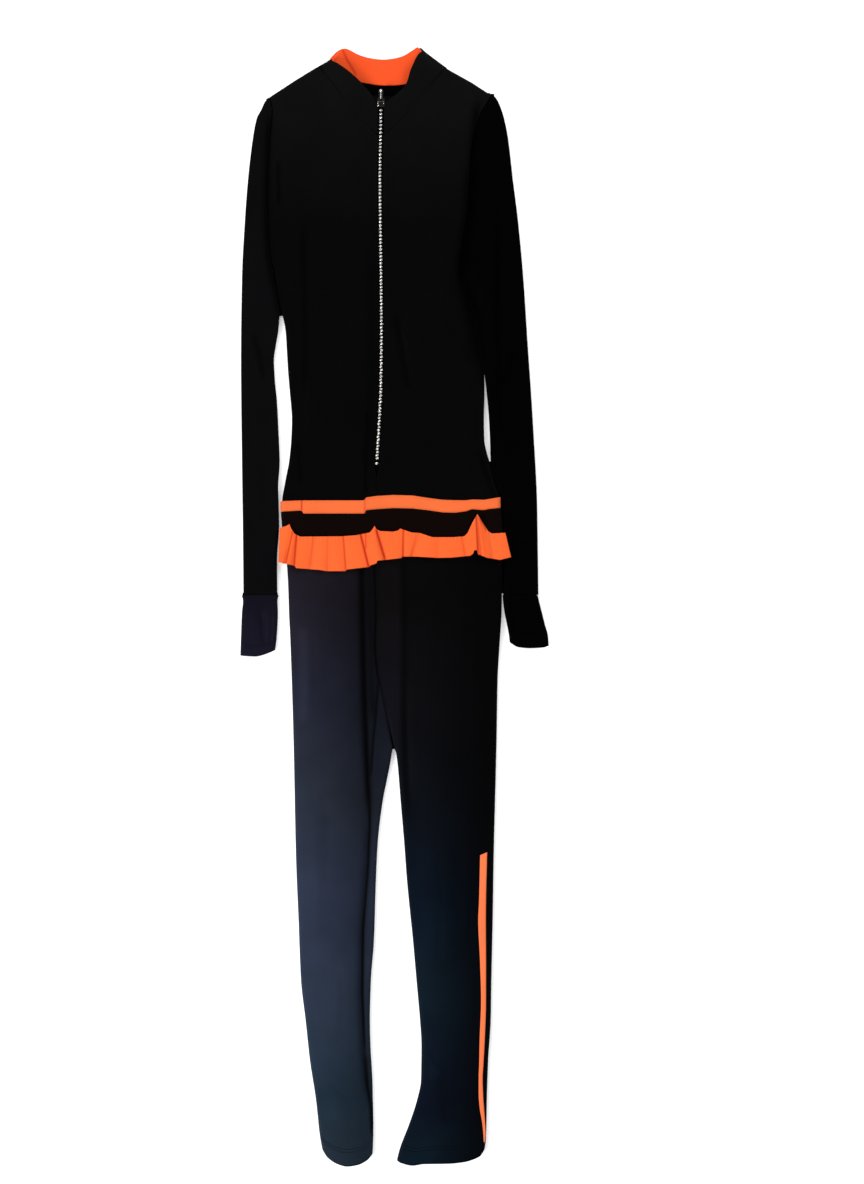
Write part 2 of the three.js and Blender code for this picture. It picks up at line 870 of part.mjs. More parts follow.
// Shares across a ring as distances from its two ends: near ones in millimetres, then even.
function ringShares(count) {
  const near = EDGE_STEPS.map((inset) => ({ inset, share: 0 }));
  const even = Array.from({ length: count - 1 }, (_, i) => ({ inset: HALF_DEPTH, share: (i + 1) / count }));
  const far = [...EDGE_STEPS].reverse().map((inset) => ({ inset: DEPTH - inset, share: 1 }));
  return [...near, ...even, ...far];
}

// A straight ring path between two points, drawn in by the wall for its inner face.
function ringPath(start, end, spot, inward) {
  const length = Math.hypot(end.x - start.x, end.down - start.down);
  const clear = length - 2 * inward;
  const run = spot.inset * (clear / length) + spot.share * (clear - DEPTH * (clear / length));
  const t = (run + inward) / length;
  return {
    t,
    x: mix(start.x, end.x, t),
    down: mix(start.down, end.down, t),
    inset: Math.min(run, clear - run),
  };
}

function sleeve(side) {
  const { top, armpit, outer, inner, sign } = SLEEVES[side];
  const wrist = CUFF_SEAM - SEAM;
  const armhole = (down) => smooth(BODICE_SIDES, "down", side === "right" ? "left" : "right", down);
  const path = (v, spot, inward) => {
    const g = v ** ROW_SPREAD;
    const outerDown = mix(top, wrist, g);
    const innerDown = mix(armpit, wrist, g);
    const start = { x: smooth(outer, "down", "x", outerDown), down: outerDown };
    const end = { x: smooth(inner, "down", "x", innerDown), down: innerDown };
    const ring = ringPath(start, end, spot, inward);
    const chordStart = smooth(outer, "down", "x", top);
    const chordEnd = smooth(inner, "down", "x", armpit);
    const chord = mix(chordStart, chordEnd, ring.t);
    const seam = armhole(mix(top, armpit, ring.t)) + sign * 3 * SEAM;
    const bow = (seam - chord) * ease(ARMHOLE_SHARE, 0, g);
    return { ...ring, x: ring.x + bow };
  };
  return flatTube(17, ringShares(7), path, side === "left" ? lapBase : always(0));
}

function cuff(side) {
  const { edges, hem, width } = CUFFS[side];
  const path = (v, spot, inward) => {
    const end = smooth(hem, "share", "down", hemShare(spot, width));
    const down = mix(CUFF_SEAM, end, v);
    const left = { x: smooth(edges, "down", "left", down), down };
    const right = { x: smooth(edges, "down", "right", down), down };
    return ringPath(left, right, spot, inward);
  };
  return flatTube(5, ringShares(6), path, always(0));
}

// The standing collar: a strip ruled from its seam to its free edge, then set inwards by layers.
function collarStrip(from, to, low, high, outset, wall) {
  const curve = (x, down, z) => {
    return new THREE.CatmullRomCurve3(
      COLLAR.map((row) => place(row[x], row[down], row[z])),
      false,
      "centripetal",
    );
  };
  const seam = curve("seamX", "seamDown", "seamZ");
  const top = curve("topX", "topDown", "topZ");
  const point = (u, v) => seam.getPoint(clamp(u)).lerp(top.getPoint(clamp(u)), v);
  const inward = (u, v) => {
    const alongStrip = point(u + COLLAR_STEP, v).sub(point(u - COLLAR_STEP, v));
    const upStrip = point(u, v + COLLAR_STEP).sub(point(u, v - COLLAR_STEP));
    return alongStrip.cross(upStrip).normalize();
  };
  const spans = COLLAR.length - 1;
  const stops = COLLAR.slice(1).flatMap((row, i) => {
    const turning = Math.abs(COLLAR[i].topZ - row.topZ) > 2;
    const steps = turning ? 6 : 2;
    return Array.from({ length: steps }, (_, k) => (i + k / steps) / spans);
  });
  stops.push(1);
  const kept = stops.filter((u) => u >= from && u <= to);
  const rows = 2;
  const surface = (depth) => (i, j) => {
    const v = mix(low, high, j / rows);
    const spot = point(kept[i], v).addScaledVector(inward(kept[i], v), depth);
    spot.z = Math.max(spot.z, depth);
    return spot;
  };
  return sheet(kept.length - 1, rows, surface(outset), surface(outset + wall));
}

// The zip climbs the collar's front ends, so its face rises above the neck seam.
function zipFace(down) {
  const x = centreAt(down);
  return bodyTop(x, down) + COLLAR_LIFT * clamp((NECK_SEAM - down) / COLLAR_FRONT);
}

// A strip along the zip, with its faces at heights over the fronts' face.
function zipStrip(from, to, half, low, high) {
  const rows = 24;
  const surface = (height) => (i, j) => {
    const down = mix(from, to, j / rows);
    return place(centreAt(down) + mix(-half, half, i), down, zipFace(down) + height);
  };
  return sheet(1, rows, surface(high), surface(low));
}

function stripe() {
  const rows = 18;
  const surface = (lift) => (i, j) => {
    const v = j / rows;
    const down = mix(STRIPE[0].down, STRIPE.at(-1).down, v) + STRIPE_SLANT * (1 - i / 2) * ease(0.1, 0, v);
    const inner = smooth(STRIPE, "down", "inner", down);
    const outer = smooth(STRIPE, "down", "outer", down);
    const x = mix(inner, outer, i / 2);
    return place(x, down, bodyTop(x, down) + CLEAR + lift);
  };
  return sheet(2, rows, surface(1), surface(0));
}

// The slider sits at the collar's top edge, on the chain's last stones, with an arched bridge on top.
const SLIDER = {
  down: 59,
  length: 9,
  halfWidth: 3.8,
  halfNeck: 2.3,
  plate: 1.3,
  chamfer: 0.5,
  bridgeHalfWidth: 0.75,
  eye: 1.1,
  bar: 0.8,
  sink: 0.3,
};
const SLIDER_FOOT = zipFace(ZIP_TOP) - WALL;
const SLIDER_SHOULDER = zipFace(ZIP_TOP) + SEAM;
const SLIDER_TOP = SLIDER_SHOULDER + SLIDER.plate;
const PIVOT = place(centreAt(SLIDER.down), SLIDER.down, SLIDER_TOP + SLIDER.eye);

// The pull hangs on a bar through the bridge's eye and turns over it.
const PULL = {
  length: 14,
  thick: 1.2,
  bar: 0.6,
  slotHalf: 1.2,
  slotEnd: 3.2,
  eyeHalf: 2.2,
  tipHalf: 2.6,
};

const X = new THREE.Vector3(1, 0, 0);
const Y = new THREE.Vector3(0, 1, 0);
const Z = new THREE.Vector3(0, 0, 1);

// A flat outline made solid, with its own axes laid along the given directions.
function extruded(outline, holes, depth, axes) {
  const path = (points) => points.map(([a, b]) => new THREE.Vector2(a, b));
  const shape = new THREE.Shape(path(outline));
  holes.forEach((hole) => shape.holes.push(new THREE.Path(path(hole))));
  const geometry = new THREE.ExtrudeGeometry(shape, { depth, bevelEnabled: false });
  geometry.translate(0, 0, -depth / 2);
  return geometry.applyMatrix4(new THREE.Matrix4().makeBasis(...axes));
}

function arc(radius, from, to, steps) {
  return Array.from({ length: steps + 1 }, (_, i) => {
    const angle = mix(from, to, i / steps);
    return [radius * Math.cos(angle), radius * Math.sin(angle)];
  });
}

const wasm = await Module();
wasm.setup();

function joined(geometries) {
  const solids = geometries.map((geometry) => {
    geometry.deleteAttribute("normal");
    geometry.deleteAttribute("uv");
    const merged = mergeVertices(geometry, 1e-4);
    const triVerts = new Uint32Array(merged.index.array);
    const vertProperties = new Float32Array(merged.attributes.position.array);
    return new wasm.Manifold(new wasm.Mesh({ numProp: 3, vertProperties, triVerts }));
  });
  const made = solids.reduce((sum, solid) => sum.add(solid)).getMesh();
  const geometry = new THREE.BufferGeometry();
  geometry.setAttribute("position", new THREE.BufferAttribute(new Float32Array(made.vertProperties), 3));
  geometry.setIndex(Array.from(made.triVerts));
  geometry.computeVertexNormals();
  return geometry;
}

// Drawn round the pivot: the body's section from the front, and the bridge's outline from the side.
function sliderGeometry() {
  const { halfNeck, halfWidth, chamfer, eye, bar, sink } = SLIDER;
  const foot = SLIDER_FOOT - PIVOT.z;
  const shoulder = SLIDER_SHOULDER - PIVOT.z;
  const top = SLIDER_TOP - PIVOT.z;
  const section = [
    [-halfNeck, foot],
    [halfNeck, foot],
    [halfNeck, shoulder],
    [halfWidth, shoulder],
    [halfWidth, top - chamfer],
    [halfWidth - chamfer, top],
    [chamfer - halfWidth, top],
    [-halfWidth, top - chamfer],
    [-halfWidth, shoulder],
    [-halfNeck, shoulder],
  ];
  const body = extruded(section, [], SLIDER.length, [X, Z, Y.clone().negate()]);
  const outline = [[-eye - bar, top - sink], [eye + bar, top - sink], ...arc(eye + bar, 0, Math.PI, 10)];
  const hole = [[-eye, top], [eye, top], ...arc(eye, 0, Math.PI, 8)];
  const bridge = extruded(outline, [hole], 2 * SLIDER.bridgeHalfWidth, [Y, Z, X]);
  return joined([body, bridge]);
}

function pullGeometry() {
  const { bar, slotHalf, slotEnd, eyeHalf, tipHalf, length, thick } = PULL;
  const outline = [
    [-eyeHalf, -bar],
    [eyeHalf, -bar],
    [eyeHalf, slotEnd + 1],
    [tipHalf, length - tipHalf],
    ...arc(tipHalf, 0, Math.PI, 8).map(([a, b]) => [a, b + length - tipHalf]).slice(1, -1),
    [-tipHalf, length - tipHalf],
    [-eyeHalf, slotEnd + 1],
  ];
  const slot = [
    [-slotHalf, bar],
    [slotHalf, bar],
    [slotHalf, slotEnd],
    [-slotHalf, slotEnd],
  ];
  return extruded(outline, [slot], thick, [X, Y, Z]);
}

// The catsuit
const catsuit = new THREE.Group();

function add(name, geometry, colour, at) {
  const mesh = new THREE.Mesh(geometry, new THREE.MeshStandardMaterial(COLOURS[colour]));
  mesh.name = name;
  if (at) mesh.position.copy(at);
  catsuit.add(mesh);
}

add("bodice_back", bodiceBack(), "black");
for (const side of ["right", "left"]) {
  add(`bodice_front_${side}`, bodiceFront(side), "black");
  add(`leg_back_${side}`, leg("back", side), "slate");
  add(`leg_front_${side}`, leg("front", side), "slate");
  add(`sleeve_${side}`, sleeve(side), "black");
  add(`cuff_${side}`, cuff(side), "black");
}

add("collar_outer", collarStrip(0, 1, NECK_GAP, 1, 0, WALL), "black");
add(
  "collar_facing",
  collarStrip(FACING.from, FACING.to, 3 * NECK_GAP, 1, WALL + FACING.gap, FACING.wall),
  "facing",
);

for (const layer of ["front", "back"]) {
  const count = layer === "front" ? 48 : 14;
  const overFrill = (x) => Math.min(frillTop(x - 1), frillTop(x), frillTop(x + 1)) - 2 * SEAM;
  const peplumFoot = layer === "front" ? overFrill : always(FRILL_BACK.top - SEAM);
  add(`hip_band_${layer}`, hipPiece(layer, count, 1, bandTop, bandBottom), "orange");
  add(`peplum_${layer}`, hipPiece(layer, count, 2, (x) => bandBottom(x) + SEAM, peplumFoot), "black");
}
add("frill_front", frillFront(), "orange");
add("frill_back", frillBack(), "orange");
add("leg_stripe", stripe(), "orange");

const tapeEnds = [ZIP_TOP - TAPE_OVER, ZIP_END + TAPE_UNDER];
add("zip_tape", zipStrip(...tapeEnds, TAPE_HALF, -TAPE_DEEP - TAPE_WALL, -TAPE_DEEP), "black");
const chainEnds = [ZIP_TOP + CHAIN_START, ZIP_END];
add("zip_chain", zipStrip(...chainEnds, CHAIN_HALF, SEAM - TAPE_DEEP, CHAIN_PROUD), "crystal");
add("zip_slider", sliderGeometry(), "silver", PIVOT);
add("zip_pull", pullGeometry(), "silver", PIVOT);

export default catsuit;
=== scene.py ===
import math

import bpy
import numpy as np
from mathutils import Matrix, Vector


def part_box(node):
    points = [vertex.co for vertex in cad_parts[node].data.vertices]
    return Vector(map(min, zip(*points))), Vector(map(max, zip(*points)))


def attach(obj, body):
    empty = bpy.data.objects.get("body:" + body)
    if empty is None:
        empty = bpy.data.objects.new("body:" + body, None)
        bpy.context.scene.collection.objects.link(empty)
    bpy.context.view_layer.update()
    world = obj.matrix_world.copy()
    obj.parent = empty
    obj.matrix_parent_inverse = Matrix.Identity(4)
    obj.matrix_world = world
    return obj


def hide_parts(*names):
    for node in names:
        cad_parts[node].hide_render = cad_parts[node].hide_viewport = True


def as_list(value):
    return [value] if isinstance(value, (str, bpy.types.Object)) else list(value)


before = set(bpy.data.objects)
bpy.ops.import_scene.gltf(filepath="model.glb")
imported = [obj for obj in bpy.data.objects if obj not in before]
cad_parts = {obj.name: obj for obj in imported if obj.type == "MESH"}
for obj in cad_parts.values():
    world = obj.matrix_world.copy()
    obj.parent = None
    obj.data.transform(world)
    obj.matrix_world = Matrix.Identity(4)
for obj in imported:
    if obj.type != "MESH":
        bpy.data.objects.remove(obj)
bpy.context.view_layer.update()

# A child's figure skating catsuit, laid flat on its back, front up.
# Tables and sizes are millimetres: x to the wearer's left, down from the collar's top.
MM = 0.001
LENGTH = 1185
CLOTH = 0.8  # thickness of the knit
PROUD = 1.7  # outer face of the band and the peplum over the body's own face
SEAM = 0.3  # gap between two pieces that are sewn together
CLEAR = 0.5  # gap between a piece and what it lies on
DEPTH = 6  # of the flattened body
HALF_DEPTH = DEPTH / 2
SHOULDER_SLOPE = 0.83
ZIP_GAP = 2.7
ZIP_TOP = 60
ZIP_END = 441
SLOT_OPEN = 3  # below the zip, where the gap starts to close and where it is closed
SLOT_SHUT = 12
TAPE_HALF = 6.5
TAPE_DEEP = 2.5
TAPE_WALL = 1
NECK_SEAM = 93
COLLAR_LIFT = 2.85
COLLAR_FRONT = 33
HIP_SEAM = 487
CROTCH = 741
CUFF_SEAM = 580
HIP = {"rise": 2, "from": 458, "up": 473, "falls": 558, "to": 576}
LAP = {"rise": 7.3, "fall": 14, "from": 231, "up": 247, "falls": 350, "to": 378, "out": 0.5}
FRILL_RISE = 1.2  # of the frill's face over its seat
FRILL_BACK = {"top": 512, "depth": 34.5, "left": -119, "right": 114, "waves": 12, "wave": 0.3}
COLLAR_WALL = 1.2
FACING = {"gap": 0.7, "from": 0.23, "to": 0.75, "foot": 0.105, "top": 1.055, "lap": 2.9}
ZIP_STONES = 104  # and one more at the zip's lower end
ZIP_STONE = 1.28  # radius of a stone on the zip
PULL_STONE = 0.7
TIP_STONE = 1.35
LEG_STITCHES = (15, 18.2)  # rows of stitching, so far above the hem
CUFF_STITCHES = (9, 11.8)
FLOOR_GAP = 0.3
ROW_SPREAD = 1.25
ARMHOLE_SHARE = 0.2
SHOULDERS = {"right": (-79, -84), "left": (54.5, 59.5)}  # where each starts, and where it is full
PLACKET = {"rise": 0.35, "inner": 7.6, "outer": 9}
BAND_LAPS = {"rise": 0.5, "right": (-97.8, -97.2), "left": (-30.4, -31)}
BACK_COLLAR = {"left": -73, "right": 47}
# Rows and columns of each piece's grid, and of half the way round a tube
GRIDS = {
    "sleeve": (190, 18),
    "cuff": (34, 20),
    ("bodice", "front"): (138, 72),
    ("bodice", "back"): (110, 60),
    ("leg", "front"): (220, 96),
    ("leg", "back"): (120, 18),
    ("hip_band", "front"): (6, 150),
    ("hip_band", "back"): (6, 60),
    ("peplum", "front"): (12, 150),
    ("peplum", "back"): (12, 60),
}


def table(names, *rows):
    """A table with named columns, each an array."""
    return dict(zip(names.split(), np.array(rows, float).T))


BODICE_SIDES = table(
    "down left right",
    (52, -132, 101.4), (66, -128.8, 92.8), (86, -130.4, 85.3), (112, -132.5, 80.6), (146, -134.1, 79),
    (170, -133.6, 77.4), (204, -132.5, 72.1), (227, -129.8, 68.4), (241, -127.2, 69.4), (257, -124.6, 79),
    (278, -120.2, 89.6), (289, -117.3, 92.2), (301, -115.3, 93.9), (322, -114, 94.9), (345, -112.6, 95.3),
    (366, -110.8, 95.4), (394, -108.7, 94.9), (415, -109.4, 95.3), (428, -110.5, 97.6),
    (439, -111.8, 100.9), (458, -115.5, 105.3), (470, -117.6, 109), (476, -118.7, 110.5),
    (487, -119.2, 110.8),
)
LEG_SIDES = table(
    "down left right",
    (487, -119.2, 110.8), (511, -117.1, 112.9), (564, -112.9, 114), (598, -111.8, 113.6),
    (628, -110.4, 111.8), (670, -108.9, 109.4), (734, -107, 108.3), (861, -104.3, 105.2),
    (924, -101.7, 104.2), (988, -99.1, 102.8), (1030, -94.3, 102.1), (1073, -89.6, 99.4), (1115, -83.2, 98),
    (1153, -79, 97.2), (1185, -72.6, 92.5),
)
INSEAMS = table(
    "down right left",
    (741, -1.4, -0.6), (746, -2.6, 1.5), (755, -3.9, 2.9), (776, -8, 4.8), (797, -12.2, 6.4),
    (840, -17.5, 10.1), (882, -19.6, 13.2), (946, -21.7, 19.6), (988, -24.9, 23.3), (1030, -26, 27),
    (1057, -25.4, 28.6), (1094, -23.3, 28.1), (1115, -22.8, 23.9), (1141, -22.3, 15.4), (1166, -22.8, 5.8),
    (1185, -24.9, 1),
)
CENTRE = table(
    "down x",
    (40, -14.3), (60, -14.3), (142, -15.4), (211, -14.6), (299, -13.8), (356, -14.3), (401, -16.4),
    (441, -18.6), (487, -19.6), (549, -20.7), (591, -19.3), (638, -20.7), (675, -15.8), (707, -8.5),
    (741, -1),
)
FRONT_TOP = table(
    "x down",
    (-132, 52), (-107.6, 36), (-81, 19.8), (-62, 42.5), (-41, 70), (-18, NECK_SEAM), (-10.5, NECK_SEAM),
    (12, 72), (36, 44), (56, 21.6), (84.3, 37.1), (101.4, 48),
)
BACK_TOP = table(
    "x down",
    (-132, 52), (-107.6, 36), (-81, 19.8), (-74, 25.5), (-60, 35), (-30, 42), (-10, 44), (10, 43.2),
    (32, 38), (46, 29), (56, 21.6), (84.3, 37.1), (101.4, 48),
)
HEM_WIDTH = {"right": 50, "left": 88}
HEMS = {
    "right": table(
        "share down",
        (0, 1167), (0.08, 1175.5), (0.25, 1182), (0.47, 1185), (0.7, 1183.5), (0.9, 1178.5), (1, 1172),
    ),
    "left": table(
        "share down",
        (0, 1178.5), (0.05, 1181), (0.2, 1184), (0.32, 1182.4), (0.6, 1182), (0.78, 1180.4), (0.88, 1177.8),
        (0.96, 1173.8), (1, 1166.5),
    ),
}
SLEEVES = {
    "right": {
        "top": 52,
        "armpit": 227,
        "sign": -1,
        "outer": table(
            "down x",
            (52, -132.9), (57, -137.3), (66, -141.5), (74, -145.8), (95, -150), (140, -155.3),
            (182, -158.5), (246, -161.7), (331, -162.7), (437, -161.7), (522, -160.6), (580, -160.1),
        ),
        "inner": table(
            "down x",
            (227, -130.7), (257, -125.5), (282, -121.8), (299, -123), (315, -125.6), (331, -127.7),
            (352, -126.7), (373, -124.6), (416, -122.4), (439, -121.6), (466, -123.2), (480, -122.8),
            (505, -122.2), (543, -124.4), (580, -124),
        ),
    },
    "left": {
        "top": 48,
        "armpit": 232,
        "sign": 1,
        "outer": table(
            "down x",
            (48, 102.3), (53, 107.6), (61, 111.8), (74, 116.1), (95, 120.3), (140, 125.6), (182, 130.9),
            (246, 136.8), (310, 141), (373, 145.3), (416, 147.9), (479, 151.1), (543, 152.1), (580, 152.6),
        ),
        "inner": table(
            "down x",
            (232, 69.5), (246, 72.9), (267, 79), (288, 85.3), (322, 91.2), (360, 97), (394, 100.2),
            (416, 101.2), (441, 102.2), (462, 107.2), (479, 113.3), (522, 116.8), (559, 116.8), (580, 115),
        ),
    },
}
CUFFS = {
    "right": {
        "edges": table(
            "down left right",
            (580, -161.9, -122.6), (586, -160.6, -124), (598, -161.7, -123.5), (623, -162.7, -124.6),
            (645, -163.4, -127.4),
        ),
        "width": 36,
        "hem": table("share down", (0, 644), (0.45, 645), (0.7, 643), (1, 638.3)),
    },
    "left": {
        "edges": table(
            "down left right",
            (580, 114.6, 151.8), (586, 115, 153.2), (598, 116.6, 156.3), (611, 119.2, 159.5),
            (623, 121.4, 162.7), (642, 123.4, 164),
        ),
        "width": 41,
        "hem": table("share down", (0, 630), (0.2, 635), (0.5, 636.2), (0.85, 635.4), (1, 633.6)),
    },
}
COLLAR = table(
    "seam_x seam_down seam_z top_x top_down top_z",
    (-18, 92.7, 6.15, -17, 60.5, 9), (-41, 69.6, 6.3, -32.3, 40.8, 10.5), (-62, 42.1, 6.5, -47, 27, 12),
    (-75, 26.6, 6.15, -61.5, 17, 12.6), (-80.6, 19.3, 3.1, -66.5, 13.4, 8.6), (-74, 25, 0, -60.4, 5, 3.6),
    (-60, 33.6, 0, -53.5, 2.2, 1), (-30, 40.6, 0, -34, 10.2, 0.4), (-10, 42.6, 0, -12, 13.8, 0.3),
    (10, 41.6, 0, 8, 10.6, 0.4), (32, 35.6, 0, 19, 4.8, 1), (46, 27, 0, 27, 0, 3.4),
    (55.6, 21.2, 3.1, 30, 3.4, 8.4), (50, 26, 6.15, 25.5, 8, 12.6), (36, 43.6, 6.5, 17.5, 24, 12),
    (12, 71.6, 6.3, 11.5, 40.5, 10.5), (-10.5, 92.7, 6.15, -11.5, 60.5, 9),
)
BAND_EDGES = table(
    "x top bottom",
    (-121.4, 480.6, 491.6), (-98.4, 479.7, 490.3), (-97.4, 479.7, 493.6), (-31.6, 479.7, 493.6),
    (-30.4, 476.7, 490), (-18.9, 475, 488.9), (-1.3, 474, 487.8), (19, 474.5, 488.2), (35, 477, 490),
    (51, 479.1, 492.4), (64, 479.5, 492.7), (76, 479.6, 491.1), (82, 478.8, 488.9), (95, 479.1, 490),
    (99.4, 478.4, 488.8), (113.5, 476, 487.4),
)
FRILL_TOP = table(
    "x down",
    (-121.4, 508.3), (-114.3, 506.2), (-110.8, 504.2), (-109.4, 508.3), (-105.5, 514.4), (-99.3, 517.4),
    (-56, 517.1), (-40, 515.9), (-26, 513), (-23.3, 510), (-21, 506), (-18.9, 509.5), (-15.4, 511.4),
    (-1.3, 512.2), (4, 510.9), (6.4, 508.8), (9.3, 510), (18.2, 513), (27, 513.6), (40.3, 518), (62.3, 518),
    (73.9, 517.1), (77.4, 513.6), (82.7, 502.1), (87.7, 493.6), (93.3, 503), (99.4, 511.8), (103, 514.1),
    (117.4, 513.4),
)
FRILL_HEM = table(
    "x down",
    (-122.7, 545), (-105.5, 548.9), (-103.7, 551.4), (-79, 553.3), (-71.9, 554.6), (-51.8, 554.6),
    (-49.8, 552.8), (-26.5, 550.2), (-25.4, 548.6), (-18.9, 546.3), (-17.8, 543.6), (7.4, 540.8),
    (8.7, 539.2), (23.5, 539.2), (44.7, 540.5), (60, 540.3), (80, 538.3), (83.2, 536.3), (84.4, 532.5),
    (87.2, 532.3), (88.4, 536.7), (97.7, 540.4), (111.8, 542.7), (123.5, 539.8),
)
# Creases of the frill from its seam to its hem, the rise of the flute after each one
# and how far that flute leans.
FLUTES = table(
    "top hem rise lean",
    (-121.4, -122.7, 2.4, 1), (-108.2, -115.8, 2, 0.8), (-103.4, -107.6, 3.2, 0.7),
    (-84.5, -89.6, 2.6, 1.3), (-70, -70, 2.2, 0.9), (-55.7, -51.4, 3.4, 1.2), (-35.7, -26.5, 3.6, 1.5),
    (-19, -9.8, 3.4, 1.2), (9.8, 9.3, 2.6, 0.9), (24.9, 18.6, 2.2, 1.1), (46, 46, 2.4, 0.8),
    (71.6, 75.3, 3.6, 1.2), (88.8, 91.9, 3.4, 0.7), (101, 104.5, 2.4, 1.1), (117.4, 123.5, 0, 1),
)
FRILL_PEAKS = table("x height", (-110.8, 1.6), (-21.2, 1.8), (88, 4.5))
STRIPE = table(
    "down inner outer",
    (852, 90.8, 98.2), (903, 89.6, 97), (924, 88.7, 96.8), (967, 90.6, 97), (1009, 91.7, 97),
    (1052, 90.2, 95.6), (1077, 89.7, 94.2), (1092, 89.2, 93.4), (1107, 89.2, 93.8), (1122, 90.2, 94.8),
    (1138, 92.9, 96), (1150, 94.1, 96.6), (1159, 94.6, 95.8),
)
STRIPE_SLANT = 3.2

# The largest folds of the top layers, as in the solids: raised or, where negative, sunk.
FOLDS = table(
    "x0 down0 x1 down1 height width",
    (-96, 185, -95, 470, -1.3, 9), (-86, 190, -84, 460, 0.9, 12), (-62, 120, -50, 440, 1.4, 18),
    (-36, 370, -33, 452, -1.2, 8), (5, 290, 17, 370, -1.3, 9), (24, 130, 30, 440, 1.3, 18),
    (54, 110, 60, 455, -1.1, 14), (-151, 90, -138, 560, 1.2, 10), (-143, 240, -134, 560, -0.9, 7),
    (110, 90, 128, 560, 1.2, 11), (106, 190, 138, 520, -1, 8), (-30, 560, -30, 740, -1.4, 12),
    (-60, 580, -58, 1120, 1.6, 22), (-29, 740, -33, 1060, -1.3, 8), (-33, 1060, -26, 1150, -1.1, 8),
    (12, 600, 17, 800, -1.3, 12), (50, 580, 55, 1090, 1.6, 22), (38, 1072, 50, 1094, 0.9, 8),
    (-141, 592, -136, 640, -1.1, 6), (-131, 590, -129, 634, 0.9, 5), (132, 592, 140, 630, 0.9, 9),
)

# Finer creases: height and half width, then the points of the line in plan.
CREASES = [
    (-0.9, 2.6, [(-96, 190), (-97, 280), (-95.5, 370), (-97.5, 452)]),
    (0.5, 3.5, [(-91, 200), (-91, 330), (-92, 440)]),
    (-0.8, 3, [(4.8, 291), (9, 318), (13, 345), (17, 368)]), (0.6, 4, [(9, 286), (15, 320), (22, 366)]),
    (-0.9, 2.6, [(-30.2, 420), (-31.5, 440), (-30.2, 462)]),
    (0.45, 4, [(-24, 412), (-25, 436), (-23, 460)]), (-0.5, 5, [(-70, 60), (-78, 90), (-84, 130)]),
    (0.45, 6, [(-100, 60), (-108, 110), (-110, 170)]), (-0.45, 5, [(62, 62), (66, 95), (64, 140)]),
    (-0.5, 4, [(60, 242), (46, 254), (26, 262)]), (-0.45, 4, [(66, 262), (54, 280), (38, 296)]),
    (-0.5, 4, [(-120, 236), (-108, 252), (-92, 262)]), (-0.4, 5, [(-40, 200), (-46, 280), (-42, 350)]),
    (0.4, 6, [(38, 190), (44, 270), (40, 350)]), (-0.5, 4, [(74, 330), (70, 380), (76, 430)]),
    (-0.4, 4, [(-70, 396), (-62, 420), (-66, 450)]), (-0.45, 4, [(40, 408), (48, 430), (44, 455)]),
    (-1.1, 2.8, [(-34.5, 578), (-31, 630), (-30.2, 685), (-27.5, 755), (-28.6, 825)]),
    (0.5, 4, [(-40, 590), (-38, 680), (-36, 780)]),
    (-0.9, 2.6, [(-28.6, 840), (-31.3, 888), (-33.4, 941), (-33.4, 1009), (-31.8, 1071), (-27.5, 1107),
        (-25.4, 1144)]),
    (-0.8, 2.6, [(-17.7, 683), (-21.7, 731), (-25, 766)]),
    (-0.6, 2.4, [(-11, 694), (-6.5, 712), (-2.5, 735)]), (-0.9, 3, [(12.2, 661), (12.2, 731), (16.4, 801)]),
    (0.45, 5, [(20, 650), (21, 730), (25, 800)]), (0.6, 3, [(37.6, 1085), (43, 1087), (48.2, 1090)]),
    (-0.5, 4, [(-88, 600), (-84, 650), (-86, 712)]), (-0.5, 5, [(-76, 760), (-70, 830), (-74, 905)]),
    (0.5, 6, [(-86, 800), (-82, 880), (-80, 960)]), (-0.45, 4, [(-60, 960), (-54, 1004), (-58, 1060)]),
    (-0.5, 3.5, [(-70, 1096), (-58, 1106), (-44, 1108)]),
    (-0.45, 3.5, [(-66, 1136), (-54, 1142), (-40, 1141)]), (-0.5, 5, [(80, 600), (76, 660), (80, 740)]),
    (-0.45, 5, [(44, 830), (50, 900), (46, 980)]), (0.5, 6, [(74, 780), (78, 860), (76, 950)]),
    (-0.5, 3.5, [(36, 1060), (46, 1074), (60, 1076)]), (-0.6, 3.5, [(32, 1120), (44, 1128), (62, 1126)]),
    (-0.45, 3.5, [(24, 1150), (38, 1156), (56, 1152)]),
    (-0.5, 2.6, [(-152, 300), (-146, 322), (-140, 330)]),
    (-0.5, 2.6, [(-152, 332), (-145, 350), (-138, 356)]), (0.5, 3, [(-150, 316), (-143, 338), (-137, 344)]),
    (-0.5, 3, [(-154, 120), (-150, 160), (-151, 210)]),
    (-0.5, 2.6, [(-150, 508), (-142, 516), (-132, 516)]),
    (-0.45, 2.6, [(-151, 548), (-143, 556), (-133, 554)]), (-0.5, 3, [(112, 118), (118, 160), (122, 210)]),
    (-0.5, 2.8, [(128, 318), (122, 336), (112, 346)]), (-0.5, 2.8, [(132, 344), (126, 362), (115, 370)]),
    (-0.45, 2.8, [(142, 500), (134, 512), (124, 516)]), (-0.5, 2.6, [(144, 546), (136, 556), (126, 558)]),
    (-2, 2.2, [(-142, 596), (-139.5, 616), (-138.5, 640)]),
    (0.8, 2, [(-134.5, 590), (-134, 612), (-134.5, 636)]),
    (-1.1, 1.8, [(-130.5, 592), (-129.2, 617), (-134, 638)]),
    (0.6, 2, [(-127.5, 594), (-127.5, 615), (-129.5, 634)]),
    (-0.9, 2.4, [(126, 590), (128, 608), (132, 630)]), (0.7, 2.8, [(146, 592), (150, 610), (153, 630)]),
    (-0.7, 2, [(140, 600), (143, 616), (146, 632)]),
]

